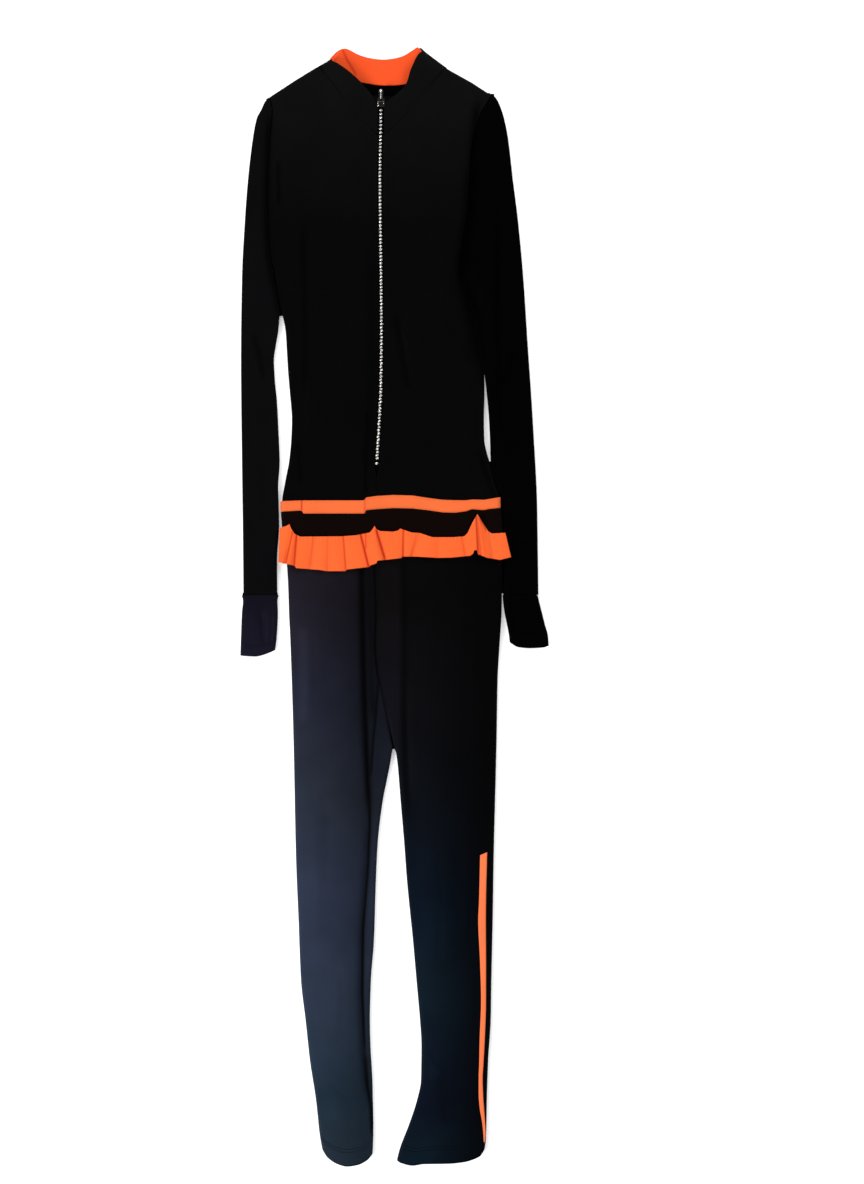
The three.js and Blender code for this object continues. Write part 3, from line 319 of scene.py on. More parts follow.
# Slow unevenness of laid cloth: waves by the place in plan, never below the solids' face.
WAVES = table(
    "across along phase height",
    (0.055, 0.011, 0.4, 0.12), (0.031, -0.019, 2.1, 0.13), (0.12, 0.035, 4, 0.04), (0.02, 0.043, 1.2, 0.08),
    (0.09, -0.06, 5.1, 0.03),
)

# Painted shading on the black cloth of body, sleeves and legs: dark lines where creases, folds and the
# armholes shadow it, each as share of the light lost, half width, and the line in plan. A negative share
# paints light.
SHADES = [
    (0.96, 4.2, [(-35, 470), (-34.6, 560), (-33.4, 640), (-31.8, 700), (-29.6, 750), (-27.8, 785),
        (-26.4, 830)]),
    (0.93, 1.7, [(-26.4, 770), (-26.2, 825), (-28.2, 870), (-33.2, 935), (-34, 1000), (-32.4, 1040),
        (-30, 1085)]),
    (0.93, 2.4, [(-31, 1062), (-28.4, 1100), (-25, 1122), (-23.4, 1156)]),
    (0.45, 4.5, [(-27, 800), (-30, 870), (-35, 940), (-36, 1000), (-34, 1060), (-27, 1130)]),
    (0.9, 1.4, [(-22, 500), (-21.4, 560), (-20, 602), (-21, 634), (-19, 656), (-16.5, 680)]),
    (0.88, 1.4, [(-16.8, 664), (-19.4, 704), (-22.6, 736), (-25.6, 778)]),
    (0.45, 1.6, [(-17, 664), (-8, 707), (-1.6, 742)]),
    (0.55, 5, [(-26, 540), (-25, 600), (-25, 660), (-23, 720)]),
    (0.6, 4, [(9, 520), (10, 600), (9.6, 700), (11, 765), (16, 830)]),
    (-0.35, 6, [(-98, 610), (-96, 660), (-97, 720)]), (0.3, 8, [(48, 1090), (51, 1114), (56, 1140)]),
    (-0.35, 2.4, [(38, 1078), (44, 1085), (49, 1090)]),
    (0.9, 4, [(-131, 60), (-134, 100), (-135.4, 150), (-135.8, 190), (-133, 225), (-124, 268),
        (-119, 300)]),
    (0.9, 5, [(91, 44), (85, 80), (81, 132), (78.4, 172), (72, 204), (68.6, 236), (77, 266), (88, 300)]),
    (0.8, 7, [(84, 120), (80, 160), (76, 205), (74, 240), (82, 290), (93, 345)]),
    (0.75, 3, [(109, 170), (109.4, 210), (108.6, 260), (109.6, 330), (110.8, 420)]),
    (0.6, 3.5, [(-97.4, 180), (-95.6, 250), (-94.4, 310), (-94.6, 370)]),
    (0.6, 2.6, [(-123.4, 118), (-122.8, 144), (-122.4, 168)]),
    (0.6, 3.5, [(0, 280), (3, 296), (8.6, 330), (15, 366)]),
    (0.8, 2.6, [(-28, 380), (-29, 410), (-30, 440), (-31, 478)]),
    (0.45, 5.5, [(-24, 215), (-24, 300), (-25, 380), (-27, 460)]),
    (0.6, 2.4, [(-103, 416), (-101, 440), (-98.8, 464)]),
    (0.7, 2.6, [(90, 426), (95, 446), (101, 462), (107, 478)]),
    (0.5, 3, [(-150, 300), (-143, 328), (-138, 352)]), (0.5, 3, [(128, 320), (121, 340), (113, 360)]),
]

# The same painted shading for the frill's creases, the band's two overlaps and the collar's facing, with
# painted light beside the facing's crease.
ORANGE_SHADES = [
    (0.8, 0.9, [(-106.9, 509), (-115.8, 551)]), (0.9, 1.3, [(-103, 512), (-106.4, 553)]),
    (0.25, 1.6, [(-85.2, 514), (-89, 553)]), (0.06, 2.2, [(-69, 514), (-71, 556)]),
    (0.7, 0.9, [(-54.5, 513), (-51.1, 557)]), (0.95, 1.3, [(-36.6, 512), (-26.2, 554)]),
    (0.6, 0.9, [(-30.6, 511), (-30, 532)]), (0.95, 1.4, [(-20, 508), (-9.3, 544)]),
    (0.06, 1.5, [(-3, 510), (-1, 543)]), (0.8, 1, [(9.5, 507), (9.1, 543)]),
    (0.22, 1.9, [(26, 512), (17.6, 541)]), (0.08, 2, [(46, 516), (45, 542)]),
    (0.3, 1.4, [(70.6, 514), (75.6, 543)]), (0.85, 1.1, [(86, 490), (88.5, 538)]),
    (0.6, 1.1, [(88, 497), (93, 504), (98, 513)]), (0.2, 1.6, [(90, 498), (97, 543)]),
    (0.85, 0.6, [(-98, 474), (-98, 500)]), (0.85, 0.6, [(-30.9, 470), (-30.9, 500)]),
    (0.65, 1.3, [(-56, 0), (-54, 4), (-49.4, 14), (-42, 26), (-40, 31)]),
    (-0.12, 7, [(-66, 4), (-60, 12), (-50, 24)]),
]

# Painted light across each leg, from left to right, above and below the knee: a factor on its colour, larger
# towards x negative, where the key light stands. It was set in rounds, by comparing mean tones of small
# patches of the render and of the photograph.
LEG_PAINTED_LIGHT = {
    "right": table(
        "x above below",
        (-110, 1.7, 1.45), (-94, 1.45, 1.3), (-78, 1.2, 1.12), (-62, 1, 1), (-44, 0.74, 0.8),
        (-32, 0.56, 0.66), (-22, 0.5, 0.72), (0, 0.62, 0.72),
    ),
    "left": table(
        "x above below",
        (-22, 0.55, 1), (-12, 0.8, 1), (4, 0.8, 1), (12, 0.38, 1), (30, 0.34, 0.92), (48, 0.26, 0.62),
        (66, 0.18, 0.38), (88, 0.08, 0.14), (110, 0.04, 0.06),
    ),
}


def mix(a, b, t):
    return a + (b - a) * t


def ease(start, end, value):
    t = np.clip((value - start) / (end - start), 0, 1)
    return t * t * (3 - 2 * t)


def straight(rows, key, name, at):
    return np.interp(at, rows[key], rows[name])


def smooth(rows, key, name, at):
    """A smooth curve through the rows of a table that never swings past them."""
    xs, ys = rows[key], rows[name]
    run = np.diff(xs)
    slope = np.diff(ys) / run
    product = slope[:-1] * slope[1:]
    total = slope[:-1] + slope[1:]
    inner = np.where(product > 0, 2 * product / np.where(product > 0, total, 1), 0)
    tangent = np.concatenate([slope[:1], inner, slope[-1:]])
    at = np.clip(at, xs[0], xs[-1])
    i = np.clip(np.searchsorted(xs, at, side="right") - 1, 0, len(run) - 1)
    t = (at - xs[i]) / run[i]
    square, cube = t**2, t**3
    return (
        (2 * cube - 3 * square + 1) * ys[i]
        + (cube - 2 * square + t) * run[i] * tangent[i]
        + (3 * square - 2 * cube) * ys[i + 1]
        + (cube - square) * run[i] * tangent[i + 1]
    )


def place(x, down, z):
    """Points in metres in the shared frame."""
    x, down, z = np.broadcast_arrays(x, down, z)
    return np.stack([x, LENGTH / 2 - down, z], -1) * MM


def crown(inset, radius):
    """Height profile of a rounded edge: 0 at the edge, 1 from one radius inwards."""
    return np.sqrt(1 - (1 - np.clip(inset / radius, 0, 1)) ** 2)


def ridge(x, down, points, height, width, fade=0.25):
    """A soft ridge or trough along a line that fades at both ends."""
    points = np.array(points, float)
    steps = np.diff(points, axis=0)
    lengths = np.hypot(steps[:, 0], steps[:, 1])
    starts = np.concatenate([[0], np.cumsum(lengths)])
    away = np.full(np.shape(x), np.inf)
    along = np.zeros(np.shape(x))
    for (x0, down0), step, length, start in zip(points, steps, lengths, starts):
        t = np.clip(((x - x0) * step[0] + (down - down0) * step[1]) / length**2, 0, 1)
        far = np.hypot(x - x0 - t * step[0], down - down0 - t * step[1])
        along = np.where(far < away, start + t * length, along)
        away = np.minimum(far, away)
    share = along / starts[-1]
    return height * ease(0, fade, share) * ease(1, 1 - fade, share) * np.exp(-((away / width) ** 2))


def fold_at(x, down):
    x, down = np.broadcast_arrays(np.asarray(x, float), np.asarray(down, float))
    total = np.zeros(x.shape)
    for x0, down0, x1, down1, height, width in zip(*FOLDS.values()):
        total += ridge(x, down, [(x0, down0), (x1, down1)], height, width)
    for height, width, points in CREASES:
        total += ridge(x, down, points, height, width)
    loose = 1 - ease(462, 478, down) * ease(586, 566, down)
    for across, along, phase, height in zip(*WAVES.values()):
        drift = 0.8 * np.sin(0.02 * down + phase)
        total += loose * height * (1 + np.sin(across * x + along * down + phase + drift))
    return total


def shade_at(x, down, lines=SHADES):
    """Painted shading: what the darkened lines leave of the cloth's colour, and painted light where a line's
    share is negative.
    """
    left = np.ones(np.shape(x))
    for strength, width, points in lines:
        left = left * (1 - ridge(x, down, points, strength, width, 0.12))
    return left


# Painted shading and painted light on the orange pieces.
def orange_painted_shading(x, down):
    return shade_at(x, down, ORANGE_SHADES)


# Each leg's painted shading in its creases, times its painted light across.
def leg_painted_shading(side):
    def painted_shading(x, down):
        rows = LEG_PAINTED_LIGHT[side]
        knee = ease(700, 900, down)
        above, below = (straight(rows, "x", name, x) for name in ("above", "below"))
        return shade_at(x, down) * mix(above, below, knee)

    return painted_shading


def body_base(down):
    """Lift of the body's underside over the back of the band and frill."""
    return HIP["rise"] * ease(HIP["from"], HIP["up"], down) * ease(HIP["to"], HIP["falls"], down)


def centre_at(down):
    return smooth(CENTRE, "down", "x", down)


def zip_gap_at(down):
    return mix(ZIP_GAP, SEAM / 2, ease(ZIP_END + SLOT_OPEN, ZIP_END + SLOT_SHUT, down))


def side_at(down, side):
    above = smooth(BODICE_SIDES, "down", side, down)
    return np.where(np.asarray(down) < HIP_SEAM, above, smooth(LEG_SIDES, "down", side, down))


def body_top(x, down):
    """Top face of the body away from its edges."""
    return body_base(down) + DEPTH + SEAM / 2 + fold_at(x, down)


def zip_face(down):
    climb = COLLAR_LIFT * np.clip((NECK_SEAM - down) / COLLAR_FRONT, 0, 1)
    return body_top(centre_at(down), down) + climb


# Materials
def feed(tree, node, inputs):
    """Gives inputs of a node, by name or number, a value or a link from another node's socket."""
    for name, value in inputs.items():
        if isinstance(value, bpy.types.NodeSocket):
            tree.links.new(value, node.inputs[name])
        else:
            node.inputs[name].default_value = value


def new_material(name):
    """A material, what adds a node to it, what feeds its shader, and its object's coordinates."""
    material = bpy.data.materials.new(name)
    material.use_nodes = True
    tree = material.node_tree

    def node(kind, output, inputs, **settings):
        """Adds a node and gives the socket of one of its outputs."""
        added = tree.nodes.new("ShaderNode" + kind)
        for setting, value in settings.items():
            setattr(added, setting, value)
        feed(tree, added, inputs)
        return added.outputs[output]

    def finish(inputs):
        feed(tree, tree.nodes["Principled BSDF"], inputs)

    return material, node, finish, node("TexCoord", "Object", {})


def ramp_of(node, factor, stops):
    ramp = node("ValToRGB", "Color", {"Fac": factor})
    elements = ramp.node.color_ramp.elements
    while len(elements) < len(stops):
        elements.new(0.5)
    for element, (position, colour) in zip(elements, stops):
        element.position = position
        element.color = (*colour, 1)
    return ramp


WALE = 0.75 * MM  # width of one column of stitches in the knit
COURSE = 0.6 * MM


def knit(name, stops, roughness, sheen, specular, relief=0.35, shade_colour=(0, 0, 0), uneven=0.12):
    """Stretch knit. stops are shares of the way from the hem up to the collar, with colours.

    The mesh's own attribute of painted shading takes the colour towards a darker colour in its creases, and
    makes it lighter, as painted light, where the attribute passes 1."""
    material, node, finish, where = new_material(name)
    half = LENGTH / 2 * MM
    up = node("SeparateXYZ", "Y", {"Vector": where})
    height = node("MapRange", "Result", {"Value": up, "From Min": -half, "From Max": half})
    base = ramp_of(node, height, stops)
    # Random unevenness of the knit's colour and gloss.
    clouds = node("TexNoise", "Fac", {"Vector": where, "Scale": 22.0, "Detail": 4.0, "Roughness": 0.55})
    spread = {"From Min": 0.3, "From Max": 0.7, "To Min": 1 - uneven, "To Max": 1 + uneven}
    mottle = node("MapRange", "Result", {"Value": clouds, **spread})
    tint = node("VectorMath", "Vector", {0: base, "Scale": mottle}, operation="SCALE")
    painted_shading = node("Attribute", "Fac", {}, attribute_name="painted_shading")
    span = node("VectorMath", "Vector", {0: tint, 1: shade_colour}, operation="SUBTRACT")
    painted_colour = node("VectorMath", "Vector", {0: span, 1: painted_shading, 2: shade_colour}, operation="MULTIPLY_ADD")
    low, high = roughness - 0.05, roughness + 0.05
    gloss = node("MapRange", "Result", {"Value": clouds, "To Min": low, "To Max": high})

    def rows_of_loops(direction, width, distortion):
        pattern = {"Vector": where, "Scale": math.pi / 10 / width, "Distortion": distortion}
        pattern |= {"Detail": 1.0, "Detail Scale": 2.0}
        return node("TexWave", "Fac", pattern, bands_direction=direction)

    loops = {0: rows_of_loops("X", WALE, 0.6), 1: rows_of_loops("Y", COURSE, 0.9)}
    slubs = node("TexNoise", "Fac", {"Vector": where, "Scale": 420.0, "Detail": 2.0})
    knitted = node("Math", "Value", loops, operation="MULTIPLY")
    surface = node("Math", "Value", {0: knitted, 1: slubs}, operation="ADD")
    bump = node("Bump", "Normal", {"Height": surface, "Strength": relief, "Distance": 0.12 * MM})
    finish({"Base Color": painted_colour, "Roughness": gloss, "Normal": bump, "Specular IOR Level": specular})
    finish({"Sheen Weight": sheen, "Sheen Roughness": 0.45})
    return material


def polished(name, colour, roughness):
    material, node, finish, where = new_material(name)
    grain = node("TexNoise", "Fac", {"Vector": where, "Scale": 900.0, "Detail": 3.0})
    gloss = node("MapRange", "Result", {"Value": grain, "To Min": roughness, "To Max": roughness + 0.12})
    bump = node("Bump", "Normal", {"Height": grain, "Strength": 0.02, "Distance": 0.1 * MM})
    finish({"Base Color": (*colour, 1), "Metallic": 1, "Roughness": gloss, "Normal": bump})
    return material


def stone_material():
    """Clear cut stone on a bright foil: each facet throws back its own light."""
    material, node, finish, where = new_material("crystal")
    flecks = node("TexVoronoi", "Distance", {"Vector": where, "Scale": 1100.0})
    colour = ramp_of(node, flecks, [(0, (1, 0.97, 0.93)), (0.6, (0.6, 0.58, 0.55))])
    finish({"Base Color": colour, "Metallic": 0.75, "Roughness": 0.12})
    finish({"Coat Weight": 1, "Coat Roughness": 0.03})
    return material


def even(colour):
    return [(0, colour), (1, colour)]


# One black knit, in copies with painted light and painted shading: the body lighter towards the collar, the
# right sleeve lighter, the right cuff lighter and bluish, most of all towards its hem, and the left sleeve,
# the left cuff and most seam allowances darker.
JET = (0.0009, 0.0009, 0.0011)
JET_TOP_LIT = (0.0026, 0.0026, 0.0027)
JET_LIT = (0.0016, 0.0016, 0.0019)
JET_SHADED = (0.0004, 0.0004, 0.0004)
JET_WARM = (0.0027, 0.0011, 0.0008)
BLACK = knit("black_knit", [(0.84, JET), (0.97, JET_TOP_LIT)], 0.55, 0.01, 0.012)
BLACK_LIT = knit("black_knit_painted_light", even(JET_LIT), 0.55, 0.01, 0.014)
BLACK_SHADED = knit("black_knit_painted_shading", even(JET_SHADED), 0.55, 0.006, 0.004)
BLACK_WARM = knit("black_knit_warm", even(JET_WARM), 0.55, 0.01, 0.01)
CUFF_LIGHT_STOPS = [(0.46, (0.0053, 0.0048, 0.011)), (0.51, (0.003, 0.0028, 0.006))]
BLACK_CUFF_LIT = knit("black_knit_cuff_painted_light", CUFF_LIGHT_STOPS, 0.55, 0.02, 0.02)
# The legs are the same black knit with painted light: bluish and lighter on the right leg, darker on the
# left, brightest towards the shins and darkest at the hips. Their stops lie at the heights of such patches,
# and were set in the same way.
LEG_KNIT_LIT = knit(
    "slate_knit",
    [
        (0.02, (0.0104, 0.0175, 0.0273)), (0.06, (0.0077, 0.0154, 0.0251)),
        (0.15, (0.0143, 0.0204, 0.0353)), (0.24, (0.0141, 0.0187, 0.0344)),
        (0.33, (0.0105, 0.0131, 0.0209)), (0.42, (0.007, 0.008, 0.0144)), (0.51, (0.0056, 0.0045, 0.0073)),
    ],
    0.55, 0.01, 0.018,
)
LEG_KNIT_SHADED = knit(
    "leg_knit_painted_shading",
    [
        (0.02, (0.002, 0.0062, 0.0117)), (0.06, (0.0019, 0.0038, 0.0101)), (0.15, (0.0031, 0.0083, 0.0148)),
        (0.24, (0.0015, 0.0042, 0.0097)), (0.33, (0.0023, 0.0036, 0.0062)), (0.41, (0.0044, 0.004, 0.0068)),
        (0.46, (0.0034, 0.0029, 0.0044)), (0.51, (0.0025, 0.002, 0.002)),
    ],
    0.55, 0.01, 0.02,
)
STRIPE_TONE = (0.66, 0.145, 0.05)
FRILL_TONE = (0.685, 0.099, 0.0215)
BAND_TONE = (0.63, 0.113, 0.03)
FACING_TONE = (0.65, 0.064, 0.0135)
# Painted shading: the dark red that the orange pieces take in their creases.
ORANGE_CREASE_SHADE = (0.36, 0.01, 0.003)
ORANGE_STOPS = [(0.3, STRIPE_TONE), (0.5, FRILL_TONE), (0.572, FRILL_TONE), (0.58, BAND_TONE)]
ORANGE = knit("orange_knit", ORANGE_STOPS, 0.6, 0.02, 0.04, 0.3, ORANGE_CREASE_SHADE, 0.04)
FACING_KNIT = knit("facing_knit", even(FACING_TONE), 0.6, 0.02, 0.04, 0.3, ORANGE_CREASE_SHADE, 0.03)
TAPE = knit("zip_tape", even((0.0012, 0.0012, 0.0014)), 0.6, 0.01, 0.02, 0.6)
THREAD = knit("black_thread", even(JET), 0.55, 0.01, 0.012, 0.2)
THREAD_ORANGE = knit("orange_thread", even((0.74, 0.14, 0.04)), 0.45, 0.02, 0.05, 0.2)
SILVER = polished("silver", (0.42, 0.41, 0.4), 0.22)
GUNMETAL = polished("gunmetal", (0.03, 0.028, 0.024), 0.3)
CRYSTAL = stone_material()


# Meshes
def make(name, points, faces, rims, material, body="garment", facets=False, painted_shading=None):
    """A piece from its points and faces, with the faces turned outwards. rims stay unsmoothed."""
    faces = np.asarray(faces)
    a, b, c = (points[faces[:, i]] for i in range(3))
    d = points[faces[:, -1]]
    volume = (a * np.cross(b, c)).sum() + (a * np.cross(c, d)).sum()
    if volume < 0:
        faces = faces[:, ::-1]
    mesh = bpy.data.meshes.new(name)
    mesh.from_pydata(points.tolist(), [], faces.tolist())
    smoothed = np.full(len(faces), not facets)
    smoothed[rims:] = False
    mesh.polygons.foreach_set("use_smooth", smoothed)
    mesh.materials.append(material)
    # Per point, the factor of painted shading and painted light that the knit materials read.
    x, down = points[:, 0] / MM, LENGTH / 2 - points[:, 1] / MM
    tones = painted_shading(x, down) if painted_shading else np.ones(len(points))
    mesh.attributes.new("painted_shading", "FLOAT", "POINT").data.foreach_set("value", tones.astype(np.float32))
    mesh.update()
    piece = bpy.data.objects.new(name, mesh)
    bpy.context.collection.objects.link(piece)
    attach(piece, body)
    return piece


def wall(name, face, lining, material, painted_shading=None):
    """A wall between two grids of the same size, closed along its four edges."""
    rows, width = face.shape[:2]
    half = rows * width
    index = np.arange(half).reshape(rows, width)
    quads = np.stack([index[:-1, :-1], index[1:, :-1], index[1:, 1:], index[:-1, 1:]], -1).reshape(-1, 4)
    ring = np.concatenate([index[:-1, 0], index[-1, :-1], index[:0:-1, -1], index[0, :0:-1]])
    after = np.roll(ring, -1)
    rim = np.stack([after, ring, ring + half, after + half], -1)
    faces = np.concatenate([quads, quads[:, ::-1] + half, rim])
    points = np.concatenate([face.reshape(-1, 3), lining.reshape(-1, 3)])
    return make(name, points, faces, 2 * len(quads), material, painted_shading=painted_shading)


def tube(name, outside, inside, material, slot, painted_shading=None):
    """An open tube from rings of points, outside and inside, joined at both ends."""
    rows, around = outside.shape[:2]
    half = rows * around
    index = np.arange(half).reshape(rows, around)
    after = np.roll(index, -1, axis=1)
    quads = np.stack([index[:-1], index[1:], after[1:], after[:-1]], -1).reshape(-1, 4)
    start = np.stack([after[0], after[0] + half, index[0] + half, index[0]], -1)
    end = np.stack([index[-1], index[-1] + half, after[-1] + half, after[-1]], -1)
    faces = np.concatenate([quads, quads[:, ::-1] + half, start, end])
    points = np.concatenate([outside.reshape(-1, 3), inside.reshape(-1, 3)])
    return make(name, points, faces, 2 * len(quads), material, painted_shading=painted_shading)


EDGE_ANGLES = np.radians([0, 14, 30, 48, 68, 90])
EDGE_STEPS = HALF_DEPTH * (1 - np.cos(EDGE_ANGLES))


def columns(count, left_round, right_round):
    """Places across a panel as insets and shares: close together over a rounded edge."""
    margin = HALF_DEPTH * (left_round + right_round)
    left = EDGE_STEPS if left_round else np.zeros(1)
    right = (margin - EDGE_STEPS)[::-1] if right_round else np.array([margin])
    start = HALF_DEPTH * left_round
    inset = np.concatenate([left, np.full(count - 1, start), right])
    share = np.concatenate([np.zeros(len(left)), np.arange(1, count) / count, np.ones(len(right))])
    return inset, share, margin


def hem_rise(down, hem, depth=18.0, rise=0.45):
    """The turned-up hem is double: its edge shows as a low step."""
    return rise * ease(hem - depth - 0.8, hem - depth + 0.8, down)


def half_shell(layer, count, rounds, edges, closed, downs, proud=0.0, top_round=None, extra=None):
    """Half of a flattened body, as its outer and inner grids: front above, back below."""
    inset, share, margin = columns(count, *rounds)
    grids = []
    for inward in (0.0, CLOTH):
        down = downs(inset[None, :], share[None, :], inward)
        left_closed, right_closed = closed[0](down), closed[1](down)
        left = edges[0](down) + inward * left_closed
        right = edges[1](down) - inward * right_closed
        x = left + inset + share * (right - left - margin)
        base = body_base(down)
        if layer == "back":
            radius = HALF_DEPTH - SEAM / 2 - inward + (base if proud else 0)
        else:
            radius = HALF_DEPTH + proud - inward
        round_ = np.minimum(
            mix(1, crown(x - left, radius), left_closed),
            mix(1, crown(right - x, radius), right_closed),
        )
        if top_round:
            round_ = np.minimum(round_, top_round(x, down, radius, inward))
        if layer == "back":
            grids.append(place(x, down, base + HALF_DEPTH - SEAM / 2 - radius * round_))
            continue
        lift = fold_at(x, down) + (extra(x, down) if extra else 0)
        grids.append(place(x, down, base + HALF_DEPTH + SEAM / 2 + (radius + lift) * round_))
    return grids


def always(value):
    return lambda down: np.full(np.shape(down), float(value))


def open_above(armpit):
    return lambda down: ease(armpit - 8, armpit + 5, down)


def on_shoulder(x):
    return np.maximum(ease(*SHOULDERS["right"], x), ease(*SHOULDERS["left"], x))


def bodice_downs(top, left, right, inward, inset, share, rows):
    """Rows of a bodice panel, close together over the rounded shoulder."""
    across = lambda at: mix(left(at), right(at), share) + inset * (1 - share)
    start = straight(top, "x", "down", across(np.full(share.shape, 60.0)))
    for _ in range(8):
        start = straight(top, "x", "down", across(start))
    start = start + inward * on_shoulder(across(start)) / SHOULDER_SLOPE
    near = EDGE_STEPS / SHOULDER_SLOPE
    end = HIP_SEAM - SEAM / 2
    v = (np.arange(1, rows + 1) / rows)[:, None]
    return np.concatenate([start + near[:, None], mix(start + near[-1], end, v)])


def shoulder_round(top):
    def profile(x, down, radius, inward):
        inset = (down - straight(top, "x", "down", x)) * SHOULDER_SLOPE - inward
        return mix(1, crown(np.maximum(0, inset), radius), on_shoulder(x))

    return profile


def bodice_front(side):
    is_right = side == "right"
    armpit = SLEEVES[side]["armpit"]
    rows, across = GRIDS["bodice", "front"]

    def left(down):
        return side_at(down, "left") if is_right else centre_at(down) + zip_gap_at(down)

    def right(down):
        return centre_at(down) - zip_gap_at(down) if is_right else side_at(down, "right")

    def downs(inset, share, inward):
        return bodice_downs(FRONT_TOP, left, right, inward, inset, share, rows)

    def placket(x, down):
        """The turned edge beside the zip, a little thicker than the rest."""
        away = np.abs(x - centre_at(down)) - zip_gap_at(down)
        edge = ease(PLACKET["outer"], PLACKET["inner"], away)
        return PLACKET["rise"] * edge * ease(ZIP_END + SLOT_SHUT, ZIP_END + 2, down)

    shut = open_above(armpit)
    closed = (shut, always(0)) if is_right else (always(0), shut)
    rounds, edges, over = (is_right, not is_right), (left, right), shoulder_round(FRONT_TOP)
    outer, inner = half_shell("front", across, rounds, edges, closed, downs, top_round=over, extra=placket)
    piece = wall(f"bodice_front_{side}_cloth", outer, inner, BLACK, shade_at)
    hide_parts(f"bodice_front_{side}")
    return piece


def bodice_back():
    rows, across = GRIDS["bodice", "back"]
    left = lambda down: side_at(down, "left")
    right = lambda down: side_at(down, "right")

    def downs(inset, share, inward):
        return bodice_downs(BACK_TOP, left, right, inward, inset, share, rows)

    closed = [open_above(SLEEVES[side]["armpit"]) for side in ("right", "left")]
    over = shoulder_round(BACK_TOP)
    outer, inner = half_shell("back", across, (True, True), (left, right), closed, downs, top_round=over)
    piece = wall("bodice_back_cloth", inner, outer, BLACK)
    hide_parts("bodice_back")
    return piece


def hem_share(inset, share, width):
    """Where a column lies across a hem of a given width, from 0 to 1."""
    return (inset + share * (width - DEPTH)) / width


def leg_edges(side):
    """A leg's left and right edges in plan: its side and its inseam, which is the centre seam above."""
    is_right = side == "right"

    def inner_edge(down):
        above = centre_at(down) + (-SEAM if is_right else SEAM) / 2
        return np.where(down >= CROTCH, smooth(INSEAMS, "down", side, down), above)

    def outer_edge(down):
        return side_at(down, "left" if is_right else "right")

    return (outer_edge, inner_edge) if is_right else (inner_edge, outer_edge)


def cuff_edges(side):
    edges = CUFFS[side]["edges"]
    return [lambda down, name=name: smooth(edges, "down", name, down) for name in ("left", "right")]


def leg(layer, side, material):
    rows, across = GRIDS["leg", layer]

    def inner_closed(down):
        return ease(CROTCH - 50, CROTCH + 4, down)

    def downs(inset, share, inward):
        hem = smooth(HEMS[side], "share", "down", hem_share(inset, share, HEM_WIDTH[side]))
        v = np.linspace(0, 1, rows + 1)[:, None]
        return mix(HIP_SEAM + SEAM / 2, hem, v)

    closed = (always(1), inner_closed) if side == "right" else (inner_closed, always(1))
    hem_line = float(HEMS[side]["down"].mean())
    step = lambda x, down: hem_rise(down, hem_line)
    outer, inner = half_shell(layer, across, (True, True), leg_edges(side), closed, downs, extra=step)
    piece = wall(f"leg_{layer}_{side}_cloth", outer, inner, material, leg_painted_shading(side))
    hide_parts(f"leg_{layer}_{side}")
    return piece


def hip_piece(name, layer, top_edge, bottom_edge, material, slot, extra=None, painted_shading=None):
    """What lies round the hips: its edges are read by x."""
    rows, across = GRIDS[name, layer]
    left = lambda down: side_at(down, "left") - PROUD
    right = lambda down: side_at(down, "right") + PROUD

    def along(edge, inset, share):
        near = edge(0.0)
        return edge(left(near) + inset + share * (right(near) - left(near) - DEPTH))

    def downs(inset, share, inward):
        v = np.linspace(0, 1, rows + 1)[:, None]
        return mix(along(top_edge, inset, share), along(bottom_edge, inset, share), v)

    closed = (always(1), always(1))
    outer, inner = half_shell(layer, across, (True, True), (left, right), closed, downs, PROUD, None, extra)
    piece = wall(f"{name}_{layer}_cloth", outer, inner, material, painted_shading)
    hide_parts(f"{name}_{layer}")
    return piece


def band_edge(edge):
    return lambda x: straight(BAND_EDGES, "x", edge, x)


def frill_top(x):
    return straight(FRILL_TOP, "x", "down", x)


def flute_at(x, v):
    """Height of the front frill over its seat: flutes between the creases, and peaks at its seam."""
    spots = mix(FLUTES["top"][:, None, None], FLUTES["hem"][:, None, None], v)
    i = np.clip((spots <= x).sum(axis=0) - 1, 0, len(FLUTES["top"]) - 2)
    low = np.take_along_axis(spots, i[None], 0)[0]
    high = np.take_along_axis(spots, i[None] + 1, 0)[0]
    t = np.clip((x - low) / (high - low), 0, 1) ** FLUTES["lean"][i]
    flute = FLUTES["rise"][i] * np.sin(np.pi * t) ** 0.8 * mix(0.35, 1, v)
    for centre, height in zip(*FRILL_PEAKS.values()):
        flute = flute + height * np.exp(-(((x - centre) / 7) ** 2)) * (1 - 0.6 * v)
    return flute


def gathers(x, v):
    """Small puckers where the frill is gathered into its seam."""
    return 0.22 * (1 + np.sin(1.55 * x + 1.2 * np.sin(0.31 * x))) * ease(0.35, 0, v)


def frill_front():
    s = np.linspace(0, 1, 521)[None, :]
    v = np.linspace(0, 1, 27)[:, None]
    top_x = mix(FRILL_TOP["x"][0], FRILL_TOP["x"][-1], s)
    hem_x = mix(FRILL_HEM["x"][0], FRILL_HEM["x"][-1], s)
    x = mix(top_x, hem_x, v)
    down = mix(frill_top(top_x) + 2 * SEAM, straight(FRILL_HEM, "x", "down", hem_x), v)
    seat = HIP["rise"] + DEPTH + SEAM / 2 + CLEAR
    hem_step = 0.25 * ease(0.83, 0.87, v)
    lift = flute_at(x, v) + gathers(x, v)
    face = place(x, down, seat + FRILL_RISE + lift + hem_step)
    lining = place(x, down, seat + FRILL_RISE - CLOTH + lift)
    piece = wall("frill_front_cloth", face, lining, ORANGE, orange_painted_shading)
    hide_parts("frill_front")
    return piece


